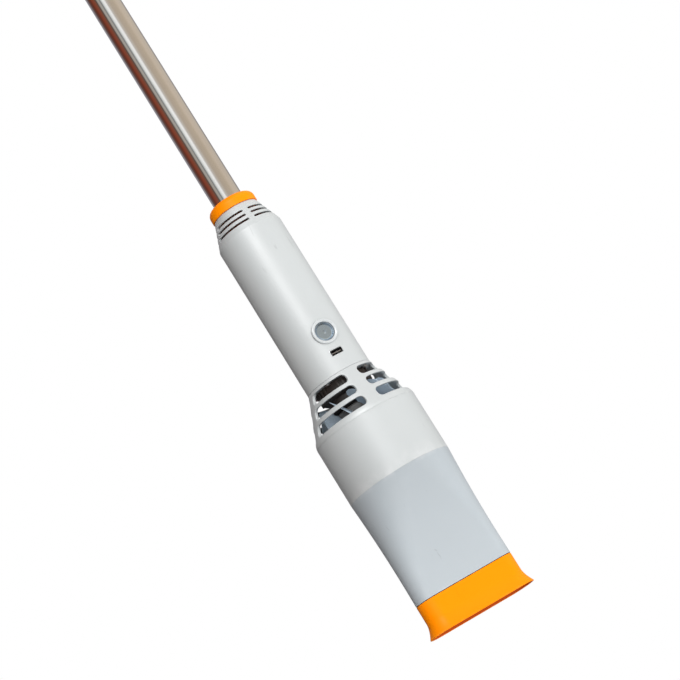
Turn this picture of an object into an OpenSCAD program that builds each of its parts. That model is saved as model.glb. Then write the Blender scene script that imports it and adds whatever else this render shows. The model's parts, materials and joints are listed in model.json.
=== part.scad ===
// Cordless pole leaf blower with an in-line axial fan.
// Everything stands on one axis: +Z runs from the nozzle mouth up the pole,
// the origin is the centre of the mouth, and the power button faces -Y.
// Lengths are in millimetres.

/* [Pole] */
// Outside diameter of the stainless pole
tube_d = 32; // [31.6:0.1:32]
// Wall of the pole tube
tube_wall = 1; // [0.8:0.1:1.5]
// Height of the top of the pole tube above the mouth
pole_top = 1100; // [1000:10:1300]
// Length of the rubber grip
grip_len = 134; // [110:1:160]
// Outside diameter of the rubber grip
grip_d = 38; // [36:0.5:42]

/* [Battery body] */
// Outside diameter of the battery body
body_d = 71; // [70:0.5:73]
// Wall of the battery body
body_wall = 2.5; // [2:0.1:2.6]
// Height where the vented cone starts
vent_z0 = 442.5; // [440:0.5:445]
// Height of the top rim of the vented cone
vent_z1 = 472; // [470:0.5:474]
// Diameter of the top rim of the vented cone
vent_top_d = 48.8; // [48:0.1:50]
// Height of one vent slot
slot_h = 2.4; // [1.6:0.1:2.6]
// Diameter of the orange collar
collar_d = 51.3; // [50:0.1:53]

/* [Button and port] */
// Height of the button axis above the mouth
button_z = 311.6; // [308:0.1:315]
// Diameter of the push button
button_d = 19.5; // [18:0.1:19.8]
// Outside diameter of the raised bezel
bezel_d = 26.5; // [26.2:0.1:27]
// Height of the charging port above the mouth
port_z = 288.4; // [287.5:0.1:290]

/* [Intake and fan] */
// Outside diameter of the fan casing
casing_d = 112; // [111:0.5:114]
// Wall of the fan casing
casing_wall = 3; // [2.5:0.1:3.2]
// Height of the shoulder between the casing and the intake cone
shoulder_z = 220; // [219:0.5:220.5]
// Height of the joint between the intake cone and the battery body
joint_z = 269; // [268.5:0.5:270]
// Width of each of the four ribs between the intake windows
rib_w = 14.4; // [12:0.2:16]
// Number of impeller blades
blades = 9; // [5:1:9]
// Pitch of the impeller blades from the axis, in degrees
blade_pitch = 36; // [25:1:42]

/* [Duct and nozzle] */
// Height where the round casing ends and the duct begins to flatten
duct_z1 = 153.7; // [152:0.1:155]
// Height of the seam between the duct and the nozzle
seam_z = 35; // [34:0.5:36]
// Long side of the flat oval section
oval_w = 112; // [111:0.5:112]
// Short side of the flat oval section
oval_t = 31; // [29:0.5:33]
// Flare of the mouth on each side
flare = 5.6; // [3:0.1:6]

/* [Hidden] */
$fn = 96;
eps = 0.01;

body_r = body_d / 2;
body_ri = body_r - body_wall;
vent_r1 = vent_top_d / 2;
vent_slots = [451.1, 457.1, 462.8];
vent_rib = 6;
tube_r = tube_d / 2;
tube_ri = tube_r - tube_wall;
tube_z0 = 446.5;
collar_z1 = 485;

casing_r = casing_d / 2;
casing_ri = casing_r - casing_wall;
cone_wall = 3.25;
windows = [[224.8, 235.6], [240.6, 250.9], [255.2, 265.6]];

grip_z1 = pole_top - 1.5;
grip_z0 = grip_z1 - grip_len;
hook_z = pole_top + 19;

button_r = button_d / 2;
face_y = -37;
cap_y = -35.2;

// cell pack: one cell in the middle and six around it
cell_r = 9.2;
cell_pitch = 19;
cell_z0 = 340;
cell_len = 65;
cell_pos = concat([[0, 0]], [for (a = [0:60:300]) [cell_pitch * cos(a), cell_pitch * sin(a)]]);
lead_r = 30.9;
board_z = 283.6;
board_t = 1.6;

// motor and fan
shroud_r = 22.5;
bell_r = 29;
shaft_r = 3;
hub_z0 = 208;
hub_z1 = 237.3;

// ---------- helpers ----------

// a ring of points on a flat oval w long and t thick, at height z
function oval(w, t, z, n = 64) =
    [for (i = [0:n - 1]) let (a = (i + 0.5) * 360 / n, e = max(0, (w - t) / 2))
        [t / 2 * cos(a) + (cos(a) > 0 ? e : -e), t / 2 * sin(a), z]];

// a closed shell skinned through a loop of rings, given up the outside and down the inside
module skin(rings) {
    n = len(rings[0]);
    m = len(rings);
    polyhedron(
        points = [for (r = rings) each r],
        faces = [for (j = [0:m - 1], i = [0:n - 1])
            let (k = (i + 1) % n, q = (j + 1) % m, a = j * n + i, b = j * n + k, c = q * n + k, d = q * n + i)
            each [[a, c, b], [a, d, c]]],
        convexity = 6);
}

module tube(r, ri, z0, z1) {
    translate([0, 0, z0]) difference() {
        cylinder(r = r, h = z1 - z0);
        translate([0, 0, -1]) cylinder(r = ri, h = z1 - z0 + 2);
    }
}

// a cylinder along Y from y0 to y1 at the button's height
module along_y(r, y0, y1, z = button_z, x = 0) {
    translate([x, y0, z]) rotate([-90, 0, 0]) cylinder(r = r, h = y1 - y0);
}

// a pan-head screw along +Z with its head below z
module screw_up(r, len, head_r, head_h) {
    translate([0, 0, -head_h]) difference() {
        cylinder(r = head_r, h = head_h);
        translate([0, 0, -eps]) cylinder(r = head_r * 0.45, h = head_h * 0.55, $fn = 6);
    }
    translate([0, 0, -0.2]) cylinder(r = r, h = len + 0.2);
}

module around(n, r, a0 = 0) {
    for (i = [0:n - 1]) rotate([0, 0, a0 + i * 360 / n]) translate([r, 0, 0]) children();
}

function duct_f(z) = (duct_z1 - z) / (duct_z1 - seam_z);
function duct_t(z) = casing_d - (casing_d - oval_t) * (1 - pow(1 - duct_f(z), 2));
function duct_w(z) = oval_w + (casing_d - oval_w) * (1 - duct_f(z)) - 1.2 * sin(180 * duct_f(z));
function flare_at(z) = z > 16 ? 0 : flare * pow((16 - z) / 16, 1.7);

// ---------- pole ----------

module pole_tube() {
    color("silver") difference() {
        tube(tube_r, tube_ri, tube_z0, pole_top);
        for (s = [-1, 1]) translate([0, s * tube_r, 456]) rotate([90, 0, 0]) cylinder(r = 1.6, h = 8, center = true);
    }
}

module pole_grip() {
    color("dimgray") rotate_extrude() difference() {
        union() {
            translate([tube_r + 0.1, grip_z0]) square([grip_d / 2 - tube_r - 0.1 - 1, grip_len]);
            translate([tube_r + 0.1, grip_z0 + 1]) square([grip_d / 2 - tube_r - 0.1, grip_len - 2]);
            for (z = [grip_z0 + 1, grip_z1 - 1]) translate([grip_d / 2 - 1, z]) circle(r = 1);
        }
        for (i = [0:9]) translate([grip_d / 2 + 0.3, grip_z0 + 16 + i * (grip_len - 32) / 9]) circle(r = 1.5);
    }
}

module pole_end_cap() {
    color("darkorange") difference() {
        union() {
            translate([0, 0, pole_top - 24]) cylinder(r = tube_ri - 0.1, h = 24.5);
            rotate_extrude() polygon([[0, pole_top + 0.2], [grip_d / 2 - 0.6, pole_top + 0.2], [grip_d / 2, pole_top + 0.8],
                [grip_d / 2, pole_top + 4], [grip_d / 2 - 1.2, pole_top + 6.2], [grip_d / 2 - 4, pole_top + 8], [0, pole_top + 8.6]]);
            translate([-9, -3, pole_top + 6]) cube([18, 6, hook_z - pole_top - 6]);
            translate([0, 3, hook_z]) rotate([90, 0, 0]) cylinder(r = 9, h = 6);
        }
        translate([0, 4, hook_z]) rotate([90, 0, 0]) cylinder(r = 4, h = 8);
        translate([0, 0, pole_top - 25]) cylinder(r = tube_ri - 3, h = 22);
    }
}

module pole_collar() {
    ri = tube_r + 0.15;
    rc = 7;
    color("orange") rotate_extrude() union() {
        translate([ri, vent_z1 + 0.2]) square([collar_d / 2 - ri, collar_z1 - rc - vent_z1 - 0.2]);
        intersection() {
            translate([collar_d / 2 - rc, collar_z1 - rc]) circle(r = rc);
            translate([ri, collar_z1 - rc - 1]) square([20, rc + 2]);
        }
        // skirt that nests inside the vented cone
        translate([ri, vent_z1 - 6]) square([21.2 - ri, 8]);
    }
}

module clamp_sleeve() {
    color("darkorange") difference() {
        union() {
            translate([0, 0, 444 - eps]) cylinder(r = 20, h = vent_z1 - 6.4 - 444);
            translate([0, 0, 441.2]) cylinder(r = 31.2, h = 2.8);
        }
        translate([0, 0, tube_z0 - 0.1]) cylinder(r = tube_r + 0.15, h = 40);
        translate([0, 0, 440]) cylinder(r = 12.5, h = 20);
        for (s = [-1, 1]) {
            translate([0, s * 18, 456]) rotate([90, 0, 0]) cylinder(r = 1.6, h = 10, center = true);
            translate([s * 26.5, 0, 440]) cylinder(r = 1.7, h = 10);
        }
    }
}

module sleeve_screws() {
    color("gray") for (s = [-1, 1]) translate([s * 26.5, 0, 441.1]) screw_up(1.45, 9, 2.8, 1.8);
}

module pole_screws() {
    color("gray") for (a = [0, 180]) rotate([0, 0, a]) translate([0, 20.1, 456]) rotate([90, 0, 0]) {
        translate([0, 0, -1.8]) cylinder(r = 2.8, h = 1.8);
        translate([0, 0, -0.1]) cylinder(r = 1.5, h = 6.1);
    }
}

// ---------- battery body ----------

module battery_housing() {
    color("gainsboro") difference() {
        union() {
            difference() {
                rotate_extrude() polygon([[body_ri, joint_z + 0.15], [body_r, joint_z + 0.15], [body_r, vent_z0],
                    [vent_r1, vent_z1], [vent_r1 - body_wall, vent_z1], [body_ri, vent_z0 - 0.5]]);
                // three rows of slots, kept apart by four ribs
                for (z = vent_slots) difference() {
                    tube(body_r + 4, 15, z - slot_h / 2, z + slot_h / 2);
                    for (a = [0, 90]) rotate([0, 0, a]) translate([-50, -vent_rib / 2, z - 3]) cube([100, vent_rib, 6]);
                }
            }
            // bosses for the sleeve screws, behind two ribs
            intersection() {
                for (s = [-1, 1]) translate([s * 26.5, 0, 444.3]) cylinder(r = 2.9, h = 16);
                rotate_extrude() polygon([[0, 440], [body_ri + 0.5, 440], [body_ri + 0.5, vent_z0], [vent_r1 - 1, vent_z1], [0, vent_z1]]);
            }
            // bosses for the housing screws
            intersection() {
                around(4, 30.6, 45) translate([0, 0, joint_z + 0.15]) cylinder(r = 2.9, h = 11);
                translate([0, 0, joint_z]) cylinder(r = body_ri + 0.5, h = 20);
            }
        }
        along_y(12.45, -45, -15);
        translate([-6.6, -45, port_z - 2.95]) cube([13.2, 25, 5.9]);
        for (s = [-1, 1]) translate([s * 26.5, 0, 444]) cylinder(r = 1.55, h = 9);
        around(4, 30.6, 45) translate([0, 0, joint_z - 1]) cylinder(r = 1.55, h = 10);
    }
}

module button_bezel() {
    color("whitesmoke") difference() {
        union() {
            difference() {
                union() {
                    along_y(bezel_d / 2, face_y + 1, -30);
                    along_y(bezel_d / 2 - 1, face_y, -30);
                    translate([0, face_y + 1, button_z]) rotate([-90, 0, 0]) rotate_extrude() translate([bezel_d / 2 - 1, 0]) circle(r = 1);
                }
                translate([0, 0, button_z - 20]) cylinder(r = body_r + 0.05, h = 40);
            }
            along_y(12.3, -35.6, -24);
        }
        along_y(button_r + 0.32, face_y - 1, -20);
        along_y(11.3, -32.2, -20);
    }
}

module button_cap() {
    color("lightgray") difference() {
        union() {
            along_y(button_r, cap_y, -31);
            along_y(10.95, -32, -30.8);
            along_y(2.8, -31, -25);
        }
        // dished face
        translate([0, cap_y - 39, button_z]) sphere(r = 40);
        // small centre dimple
        translate([0, cap_y - 0.2, button_z]) sphere(r = 1.9);
        along_y(8.3, -32.6, -30.6);
        // the stem is left standing
    }
    color("lightgray") along_y(2.8, -32.7, -25);
}

// points of the button spring, a close helix along Y
module button_spring() {
    turns = 3;
    per = 16;
    wr = 0.35;
    rr = 5.2;
    y0 = -32.2;
    y1 = -27.2;
    sides = 6;
    rings = [for (i = [0:turns * per])
        let (a = i * 360 / per, y = y0 + (y1 - y0) * i / (turns * per))
        [for (k = [0:sides - 1]) let (b = k * 360 / sides)
            [(rr + wr * cos(b)) * cos(a), y + wr * sin(b), button_z + (rr + wr * cos(b)) * sin(a)]]];
    m = len(rings);
    color("silver") polyhedron(
        points = [for (r = rings) each r],
        faces = concat(
            [[for (k = [0:sides - 1]) k]],
            [[for (k = [sides - 1:-1:0]) (m - 1) * sides + k]],
            [for (j = [0:m - 2], k = [0:sides - 1]) let (q = (k + 1) % sides, a = j * sides + k, b = j * sides + q, c = (j + 1) * sides + q, d = (j + 1) * sides + k)
                each [[a, d, c], [a, c, b]]]),
        convexity = 8);
}

module switch_body() {
    color("dimgray") difference() {
        union() {
            along_y(11.2, -26.7, -14);
            along_y(8.5, -14.1, -12.5);
        }
        along_y(3.3, -28, -20);
    }
}

module switch_terminals() {
    color("gold") for (x = [-5, 5]) translate([x - 1, -13, button_z - 5]) union() {
        translate([0, 0.6, 0]) cube([2, 4.4, 0.6]);
    }
}

module switch_nut() {
    color("whitesmoke") difference() {
        along_y(15, -28.9, -26.2);
        along_y(12.36, -30, -25);
        for (a = [0:60:300]) translate([0, -27.5, button_z]) rotate([0, a, 0]) translate([15, 0, 0]) cube([2, 4, 3], center = true);
    }
}

module usb_shell() {
    color("silver") difference() {
        translate([-6.45, -34.4, port_z - 2.8]) cube([12.9, 14, 5.6]);
        translate([-6.15, -35, port_z - 2.5]) cube([12.3, 14.2, 5]);
    }
}

module usb_tongue() {
    color("black") union() {
        translate([-5.5, -33.6, port_z - 1.2]) cube([11, 12, 1.6]);
        translate([-6.1, -23.4, port_z - 2.45]) cube([12.2, 2.4, 4.9]);
    }
}

// ---------- electronics ----------

module control_board() {
    color("green") difference() {
        translate([0, 0, board_z]) cylinder(r = 32.2, h = board_t);
        around(3, 26, 90) translate([0, 0, board_z - 1]) cylinder(r = 1.4, h = 4);
        // flat for the port
        translate([-20, -40, board_z - 1]) cube([40, 9.6, 4]);
        for (x = [-4.5, 4.5]) translate([x, 27, board_z - 1]) cylinder(r = 1.0, h = 4);
    }
}

module board_components() {
    zt = board_z + board_t + 0.05;
    color("dimgray") {
        translate([13, 8, zt]) cylinder(r = 6.3, h = 14);
        translate([-13, 8, zt]) cylinder(r = 5, h = 11);
        for (x = [-9, 0, 9]) translate([x - 3, 15, zt]) cube([6, 6.2, 1.6]);
        translate([-18, -8, zt]) cube([9, 9, 5]);
        translate([4, -8, zt]) cube([9, 9, 1.2]);
    }
}

module board_standoffs() {
    color("gold") around(3, 26, 90) difference() {
        translate([0, 0, joint_z + 0.1]) cylinder(r = 2.6, h = board_z - joint_z - 0.2);
        translate([0, 0, board_z - 7]) cylinder(r = 1.25, h = 8);
    }
}

module board_screws() {
    color("gray") around(3, 26, 90) translate([0, 0, board_z + board_t + 0.05]) mirror([0, 0, 1]) screw_up(1.15, 6, 2.4, 1.5);
}

module battery_cells() {
    color("steelblue") for (p = cell_pos) translate([p[0], p[1], cell_z0]) {
        cylinder(r = cell_r, h = cell_len - 1);
        cylinder(r = 4, h = cell_len);
    }
}

module cell_holder(z0, z1, deep0) {
    difference() {
        translate([0, 0, z0]) cylinder(r = 32.6, h = z1 - z0);
        for (p = cell_pos) translate([p[0], p[1], deep0]) cylinder(r = cell_r + 0.1, h = z1 - z0 - 3.8);
        for (p = cell_pos) translate([p[0], p[1], z0 - 1]) cylinder(r = 6.6, h = z1 - z0 + 2);
        for (a = [84, 96]) rotate([0, 0, a]) translate([lead_r, 0, z0 - 1]) cylinder(r = 1.75, h = z1 - z0 + 2);
        for (a = [84, 96]) rotate([0, 0, a]) translate([lead_r, -1.4, z0 - 1]) cube([4, 2.8, z1 - z0 + 2]);
    }
}

module cell_holder_lower() {
    color("dimgray") cell_holder(cell_z0 - 4, cell_z0 + 8, cell_z0 - 0.1);
}

module cell_holder_upper() {
    color("dimgray") cell_holder(cell_z0 + cell_len - 8, cell_z0 + cell_len + 4, cell_z0 + cell_len - 8.2);
}

module cell_strips() {
    color("silver") for (z = [cell_z0 - 4.4, cell_z0 + cell_len + 4.1]) {
        for (y = [-1, 0, 1]) translate([-cell_pitch * (y == 0 ? 1 : 0.5) - 4, y * cell_pitch * 0.866 - 4, z]) cube([cell_pitch * (y == 0 ? 2 : 1) + 8, 8, 0.3]);
        translate([-4, -cell_pitch * 0.866, z]) cube([8, cell_pitch * 1.732, 0.3]);
    }
    color("silver") for (p = cell_pos) {
        translate([p[0], p[1], cell_z0 - 4.2]) cylinder(r = 3.6, h = 4.15);
        translate([p[0], p[1], cell_z0 + cell_len + 0.05]) cylinder(r = 3.6, h = 4.15);
    }
}

module protection_board() {
    z = cell_z0 + cell_len + 8;
    color("green") {
        difference() {
            translate([0, 0, z]) cylinder(r = 31.5, h = 1.6);
            for (a = [45, 165, 285]) rotate([0, 0, a]) translate([26, 0, z - 1]) cylinder(r = 1.4, h = 4);
        }
        translate([-10, -16, z + 1.5]) cube([20, 9, 2.3]);
        translate([-14, 6, z + 1.5]) cube([7, 7, 2.3]);
        translate([6, 6, z + 1.5]) cube([7, 7, 2.3]);
    }
}

module battery_leads() {
    color("red") for (a = [84, 96]) rotate([0, 0, a]) translate([lead_r, 0, board_z + board_t + 0.05])
        cylinder(r = 1.4, h = cell_z0 + cell_len + 8 - board_z - board_t - 0.1);
}

module motor_leads() {
    color("black") around(3, 15.3, 20) translate([0, 0, 261.4]) cylinder(r = 1.3, h = board_z - 261.4 - 0.05);
}

module switch_leads() {
    color("red") for (x = [-5, 5]) translate([x, -9.2, board_z + board_t + 0.05]) cylinder(r = 0.9, h = button_z - 5 - board_z - board_t - 0.1);
}

// ---------- intake and motor ----------

module intake_cone() {
    color("gainsboro") difference() {
        union() {
            difference() {
                rotate_extrude() union() {
                    polygon([[casing_r, shoulder_z + 0.1], [body_r, joint_z], [body_r - cone_wall, joint_z], [casing_r - cone_wall, shoulder_z + 0.1]]);
                    // flange that carries the motor
                    translate([16.8, 266.2]) square([body_r - 17, joint_z - 266.2]);
                    // spigot into the battery body
                    translate([body_ri - 2.2, joint_z - 0.5]) square([2.05, 5.5]);
                }
                for (w = windows) difference() {
                    tube(casing_r + 5, 20, w[0], w[1]);
                    for (a = [0, 90]) rotate([0, 0, a]) translate([-70, -rib_w / 2, w[0] - 1]) cube([140, rib_w, w[1] - w[0] + 2]);
                }
            }
            // spigot with a snap bead into the fan casing
            difference() {
                rotate_extrude() union() {
                    translate([casing_ri - 1.9, shoulder_z - 6]) square([1.75, 7.4]);
                    translate([casing_ri - 0.35, shoulder_z - 3]) circle(r = 0.7);
                }
            }
        }
        // the spigot of the battery body clears the screw bosses
        around(4, 30.6, 45) translate([0, 0, joint_z + eps]) cylinder(r = 3.2, h = 8);
        around(4, 30.6, 45) translate([0, 0, 260]) cylinder(r = 1.7, h = 12);
        around(4, 23.3, 45) translate([0, 0, 260]) cylinder(r = 1.25, h = 12);
        around(3, 26, 90) translate([0, 0, joint_z - 1.5]) cylinder(r = 1.2, h = 3);
        // room for the port behind the front wall
        translate([-8, -36, port_z - 6]) cube([16, 10, 12]);
    }
}

module housing_screws() {
    color("gray") around(4, 30.6, 45) translate([0, 0, 266.15]) screw_up(1.5, 11, 2.7, 1.9);
}

module motor_shroud() {
    color([0.2, 0.16, 0.14]) difference() {
        union() {
            difference() {
                // the upper part is wider, and starts just above the blade ends
                rotate_extrude() polygon([[0, 238.6], [shroud_r, 238.6], [shroud_r, 250.9], [bell_r - 1, 251.3], [bell_r, 252.3], [bell_r, 266.1], [0, 266.1]]);
                rotate_extrude() polygon([[0, 245.2], [shroud_r - 1.9, 245.2], [shroud_r - 1.9, 253], [bell_r - 3.8, 254.5], [bell_r - 3.8, 267], [0, 267]]);
                // channels for the housing screws
                around(4, 30.6, 45) translate([0, 0, 240]) cylinder(r = 3.3, h = 30);
            }
            // bosses for the motor screws, and ribs that centre the motor
            around(4, 23.3, 45) translate([0, 0, 254]) cylinder(r = 2.6, h = 12.1);
            around(8, shroud_r - 1.9, 22.5) translate([0, -1, 252]) cube([5, 2, 13.6]);
        }
        translate([0, 0, 240]) cylinder(r = 7.55, h = 10);
        translate([0, 0, 238]) cylinder(r = 4.2, h = 10);
        around(4, 23.3, 45) translate([0, 0, 258]) cylinder(r = 1.25, h = 12);
        // cooling holes round the motor
        for (a = [22.5:45:337.5]) rotate([0, 0, a]) translate([shroud_r, 0, 248]) rotate([0, 90, 0]) cylinder(r = 1.6, h = 8, center = true);
    }
}

module motor_screws() {
    color("gray") around(4, 23.3, 45) translate([0, 0, joint_z + 0.1]) mirror([0, 0, 1]) screw_up(1.2, 9, 2.2, 1.6);
}

module motor_end_cap() {
    color("silver") difference() {
        union() {
            translate([0, 0, 261.4]) cylinder(r = 20.5, h = 4.4);
            translate([0, 0, 260.4]) cylinder(r = 9.5, h = 5.4);
        }
        translate([0, 0, 260]) cylinder(r = 7.55, h = 4.6);
        translate([0, 0, 260]) cylinder(r = 4.2, h = 10);
        around(3, 15.3, 20) translate([0, 0, 260]) cylinder(r = 1.35, h = 10);
    }
}

module motor_stator() {
    color("gray") difference() {
        translate([0, 0, 248]) cylinder(r = 20.5, h = 10.5);
        translate([0, 0, 247]) cylinder(r = 10.6, h = 13);
        around(9, 15, 0) translate([0, 0, 247]) cylinder(r = 2.9, h = 13);
        around(9, 11.5, 0) translate([-1.5, -0.9, 247]) cube([4, 1.8, 13]);
    }
}

module motor_windings() {
    color("peru") {
        around(9, 15, 0) translate([0, 0, 247.5]) cylinder(r = 2.8, h = 11.5);
        tube(17.6, 12.4, 246, 247.9);
        tube(17.6, 12.4, 258.6, 260.2);
    }
}

module motor_bearings() {
    color("silver") for (z = [240.1, 260.0]) translate([0, 0, z]) difference() {
        cylinder(r = 7.5, h = 4.5);
        translate([0, 0, -1]) cylinder(r = shaft_r + 0.05, h = 8);
        for (zz = [-eps, 4.1]) translate([0, 0, zz]) difference() {
            cylinder(r = 6.4, h = 0.4 + eps);
            translate([0, 0, -1]) cylinder(r = 4.2, h = 3);
        }
    }
}

module rotor_magnet() {
    color("dimgray") tube(10, shaft_r + 0.02, 246.5, 258.8);
}

module motor_shaft() {
    color("silver") difference() {
        translate([0, 0, 207.2]) cylinder(r = shaft_r, h = 57);
        // flat that keys the hub
        translate([2.5, -4, 207]) cube([3, 8, 12]);
    }
}

// outline of one blade, swept round the axis
module blade_outline() {
    polygon([[21.4, 209.5], [50.2, 209.5], [50.2, 216], [47.4, 222], [44.6, 229], [39.5, 240], [39.5, 242.5], [24.5, 242.5], [24.5, 239.2], [21.4, 236.6]]);
    translate([32, 242.5]) circle(r = 7.5);
}

module impeller() {
    color([0.72, 0.78, 0.84]) {
        difference() {
            union() {
                rotate_extrude() polygon([[20.4, hub_z0], [shroud_r, hub_z0], [shroud_r, hub_z1 - 1.5], [shroud_r - 1.5, hub_z1], [0, hub_z1], [0, 233.5], [20.4, 233.5]]);
                translate([0, 0, 216]) cylinder(r = 7, h = 18);
                for (a = [0:60:300]) rotate([0, 0, a]) translate([6, -0.9, 218]) cube([15, 1.8, 16]);
                for (i = [0:blades - 1]) rotate([0, 0, i * 360 / blades + 37]) intersection() {
                    rotate_extrude() blade_outline();
                    translate([0, 0, 229]) rotate([blade_pitch, 0, 0]) translate([14, -1.1, -45]) cube([45, 2.2, 90]);
                }
            }
            translate([0, 0, 205]) cylinder(r = shaft_r + 0.03, h = 40);
        }
    }
}

module impeller_nut() {
    color("silver") translate([0, 0, 210.5]) difference() {
        cylinder(r = 5.7, h = 5.3, $fn = 6);
        translate([0, 0, -1]) cylinder(r = shaft_r + 0.03, h = 8);
    }
}

// ---------- casing, duct and nozzle ----------

module fan_casing() {
    color("gainsboro") rotate_extrude() difference() {
        translate([casing_ri, duct_z1 + 0.15]) square([casing_wall, shoulder_z - duct_z1 - 0.2]);
        // snap groove for the intake cone
        translate([casing_ri - 0.35, shoulder_z - 3]) circle(r = 0.95);
    }
}

module flow_straightener() {
    color([0.72, 0.78, 0.84]) {
        tube(casing_ri - 0.2, casing_ri - 2, 170, 200);
        difference() {
            translate([0, 0, 170]) cylinder(r = shroud_r, h = 34);
            translate([0, 0, 168]) cylinder(r = shroud_r - 2, h = 33.5);
        }
        around(8, 0, 22.5) translate([shroud_r - 0.5, -0.9, 173]) cube([casing_ri - 0.5 - shroud_r, 1.8, 25]);
    }
}

module tail_cone() {
    color([0.72, 0.78, 0.84]) rotate_extrude() polygon(concat(
        [[0, 169.85], [0, 141]],
        [for (i = [1:12]) [shroud_r * sin(i * 7.5), 169.85 - 28.85 * cos(i * 7.5)]],
        [[shroud_r - 2.3, 169.85], [shroud_r - 2.3, 174], [shroud_r - 4, 174], [shroud_r - 4, 169.85]]));
}

module transition_duct() {
    w = 2.6;
    zo = [for (i = [0:22]) seam_z + 0.3 + (duct_z1 - seam_z - 0.3) * (1 - pow(1 - i / 22, 1.25))];
    zi = [for (i = [0:18]) 147 - (147 - seam_z - 0.3) * pow(i / 18, 1.1)];
    color([0.83, 0.86, 0.88]) skin(concat(
        [for (z = zo) oval(duct_w(z), duct_t(z), z)],
        [oval(2 * casing_ri - 0.4, 2 * casing_ri - 0.4, duct_z1),
         oval(2 * casing_ri - 0.4, 2 * casing_ri - 0.4, duct_z1 + 8),
         oval(2 * casing_ri - 4.4, 2 * casing_ri - 4.4, duct_z1 + 8),
         oval(2 * casing_ri - 4.4, 2 * casing_ri - 4.4, duct_z1 - 1)],
        [for (z = zi) oval(duct_w(z) - 2 * w, duct_t(z) - 2 * w, z)]));
}

module nozzle() {
    w = 2.4;
    top = seam_z - 0.3;
    zo = concat([for (i = [0:10]) 0.7 + i * 15.3 / 10], [21, 28, top]);
    zi = concat([28, 21], [for (i = [10:-1:0]) 0.7 + i * 15.3 / 10]);
    color("orange") skin(concat(
        [oval(oval_w + 2 * flare - 1.2, oval_t + 2 * flare - 1.2, 0)],
        [for (z = zo) oval(oval_w + 2 * flare_at(z), oval_t + 2 * flare_at(z), z)],
        [oval(oval_w - 5.7, oval_t - 5.7, top), oval(oval_w - 5.7, oval_t - 5.7, seam_z + 7),
         oval(oval_w - 6.5, oval_t - 6.5, seam_z + 8), oval(oval_w - 9.3, oval_t - 9.3, seam_z + 8), oval(oval_w - 9.3, oval_t - 9.3, top)],
        [for (z = zi) oval(oval_w + 2 * flare_at(z) - 2 * w, oval_t + 2 * flare_at(z) - 2 * w, z)],
        [oval(oval_w + 2 * flare + 1.2 - 2 * w, oval_t + 2 * flare + 1.2 - 2 * w, 0)]));
}

pole_tube();
pole_grip();
pole_end_cap();
pole_collar();
clamp_sleeve();
sleeve_screws();
pole_screws();
battery_housing();
button_bezel();
button_cap();
button_spring();
switch_body();
switch_terminals();
switch_nut();
usb_shell();
usb_tongue();
control_board();
board_components();
board_standoffs();
board_screws();
battery_cells();
cell_holder_lower();
cell_holder_upper();
cell_strips();
protection_board();
battery_leads();
motor_leads();
switch_leads();
intake_cone();
housing_screws();
motor_shroud();
motor_screws();
motor_end_cap();
motor_stator();
motor_windings();
motor_bearings();
rotor_magnet();
motor_shaft();
impeller();
impeller_nut();
fan_casing();
flow_straightener();
tail_cone();
transition_duct();
nozzle();
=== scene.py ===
import json
import math

import bpy
from mathutils import Matrix, Vector


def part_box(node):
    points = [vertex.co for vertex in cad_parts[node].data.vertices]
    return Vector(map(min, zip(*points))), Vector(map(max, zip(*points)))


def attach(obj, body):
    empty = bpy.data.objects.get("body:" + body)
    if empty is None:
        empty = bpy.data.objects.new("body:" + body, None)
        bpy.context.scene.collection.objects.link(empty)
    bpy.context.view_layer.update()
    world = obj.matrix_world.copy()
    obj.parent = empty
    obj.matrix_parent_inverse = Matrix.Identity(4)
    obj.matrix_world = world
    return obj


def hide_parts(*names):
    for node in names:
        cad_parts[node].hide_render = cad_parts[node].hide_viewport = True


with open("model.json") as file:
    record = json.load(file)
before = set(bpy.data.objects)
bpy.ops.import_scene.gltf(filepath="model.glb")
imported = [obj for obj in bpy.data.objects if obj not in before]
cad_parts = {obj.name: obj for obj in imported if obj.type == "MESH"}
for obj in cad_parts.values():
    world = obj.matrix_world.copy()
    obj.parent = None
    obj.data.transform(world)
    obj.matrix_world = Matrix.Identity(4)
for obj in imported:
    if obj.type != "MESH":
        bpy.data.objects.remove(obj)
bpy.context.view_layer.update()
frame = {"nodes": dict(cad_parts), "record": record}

MM = 0.001
BODY = "blower"
ROTOR = "fan_rotor"
BUTTON = "button"


def mm_box(node):
    lo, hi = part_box(node)
    return [v * 1000 for v in lo], [v * 1000 for v in hi]


# ---------------------------------------------------------------- sizes, read from the frame
casing_lo, casing_hi = mm_box("fan_casing")
cone_lo, cone_hi = mm_box("intake_cone")
house_lo, house_hi = mm_box("battery_housing")
duct_lo, duct_hi = mm_box("transition_duct")
noz_lo, noz_hi = mm_box("nozzle")
tube_lo, tube_hi = mm_box("pole_tube")
grip_lo, grip_hi = mm_box("pole_grip")
cap_lo, cap_hi = mm_box("pole_end_cap")
collar_lo, collar_hi = mm_box("pole_collar")
bez_lo, bez_hi = mm_box("button_bezel")
but_lo, but_hi = mm_box("button_cap")
usb_lo, usb_hi = mm_box("usb_shell")
imp_lo, imp_hi = mm_box("impeller")
shr_lo, shr_hi = mm_box("motor_shroud")

CASING_R = casing_hi[0]
BODY_R = house_hi[0]
TUBE_R = tube_hi[0]
SHOULDER = casing_hi[2] + 0.05          # 220
JOINT = 269.0
DUCT_TOP = casing_lo[2] - 0.15          # 153.7
BUTTON_Z = (bez_lo[2] + bez_hi[2]) / 2
PORT_Z = (usb_lo[2] + usb_hi[2]) / 2
SEAM = duct_lo[2] - 0.3                 # 35


# ---------------------------------------------------------------- materials
def nodes_of(name):
    m = bpy.data.materials.new(name)
    m.use_nodes = True
    nt = m.node_tree
    b = nt.nodes["Principled BSDF"]
    return m, nt, b


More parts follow.
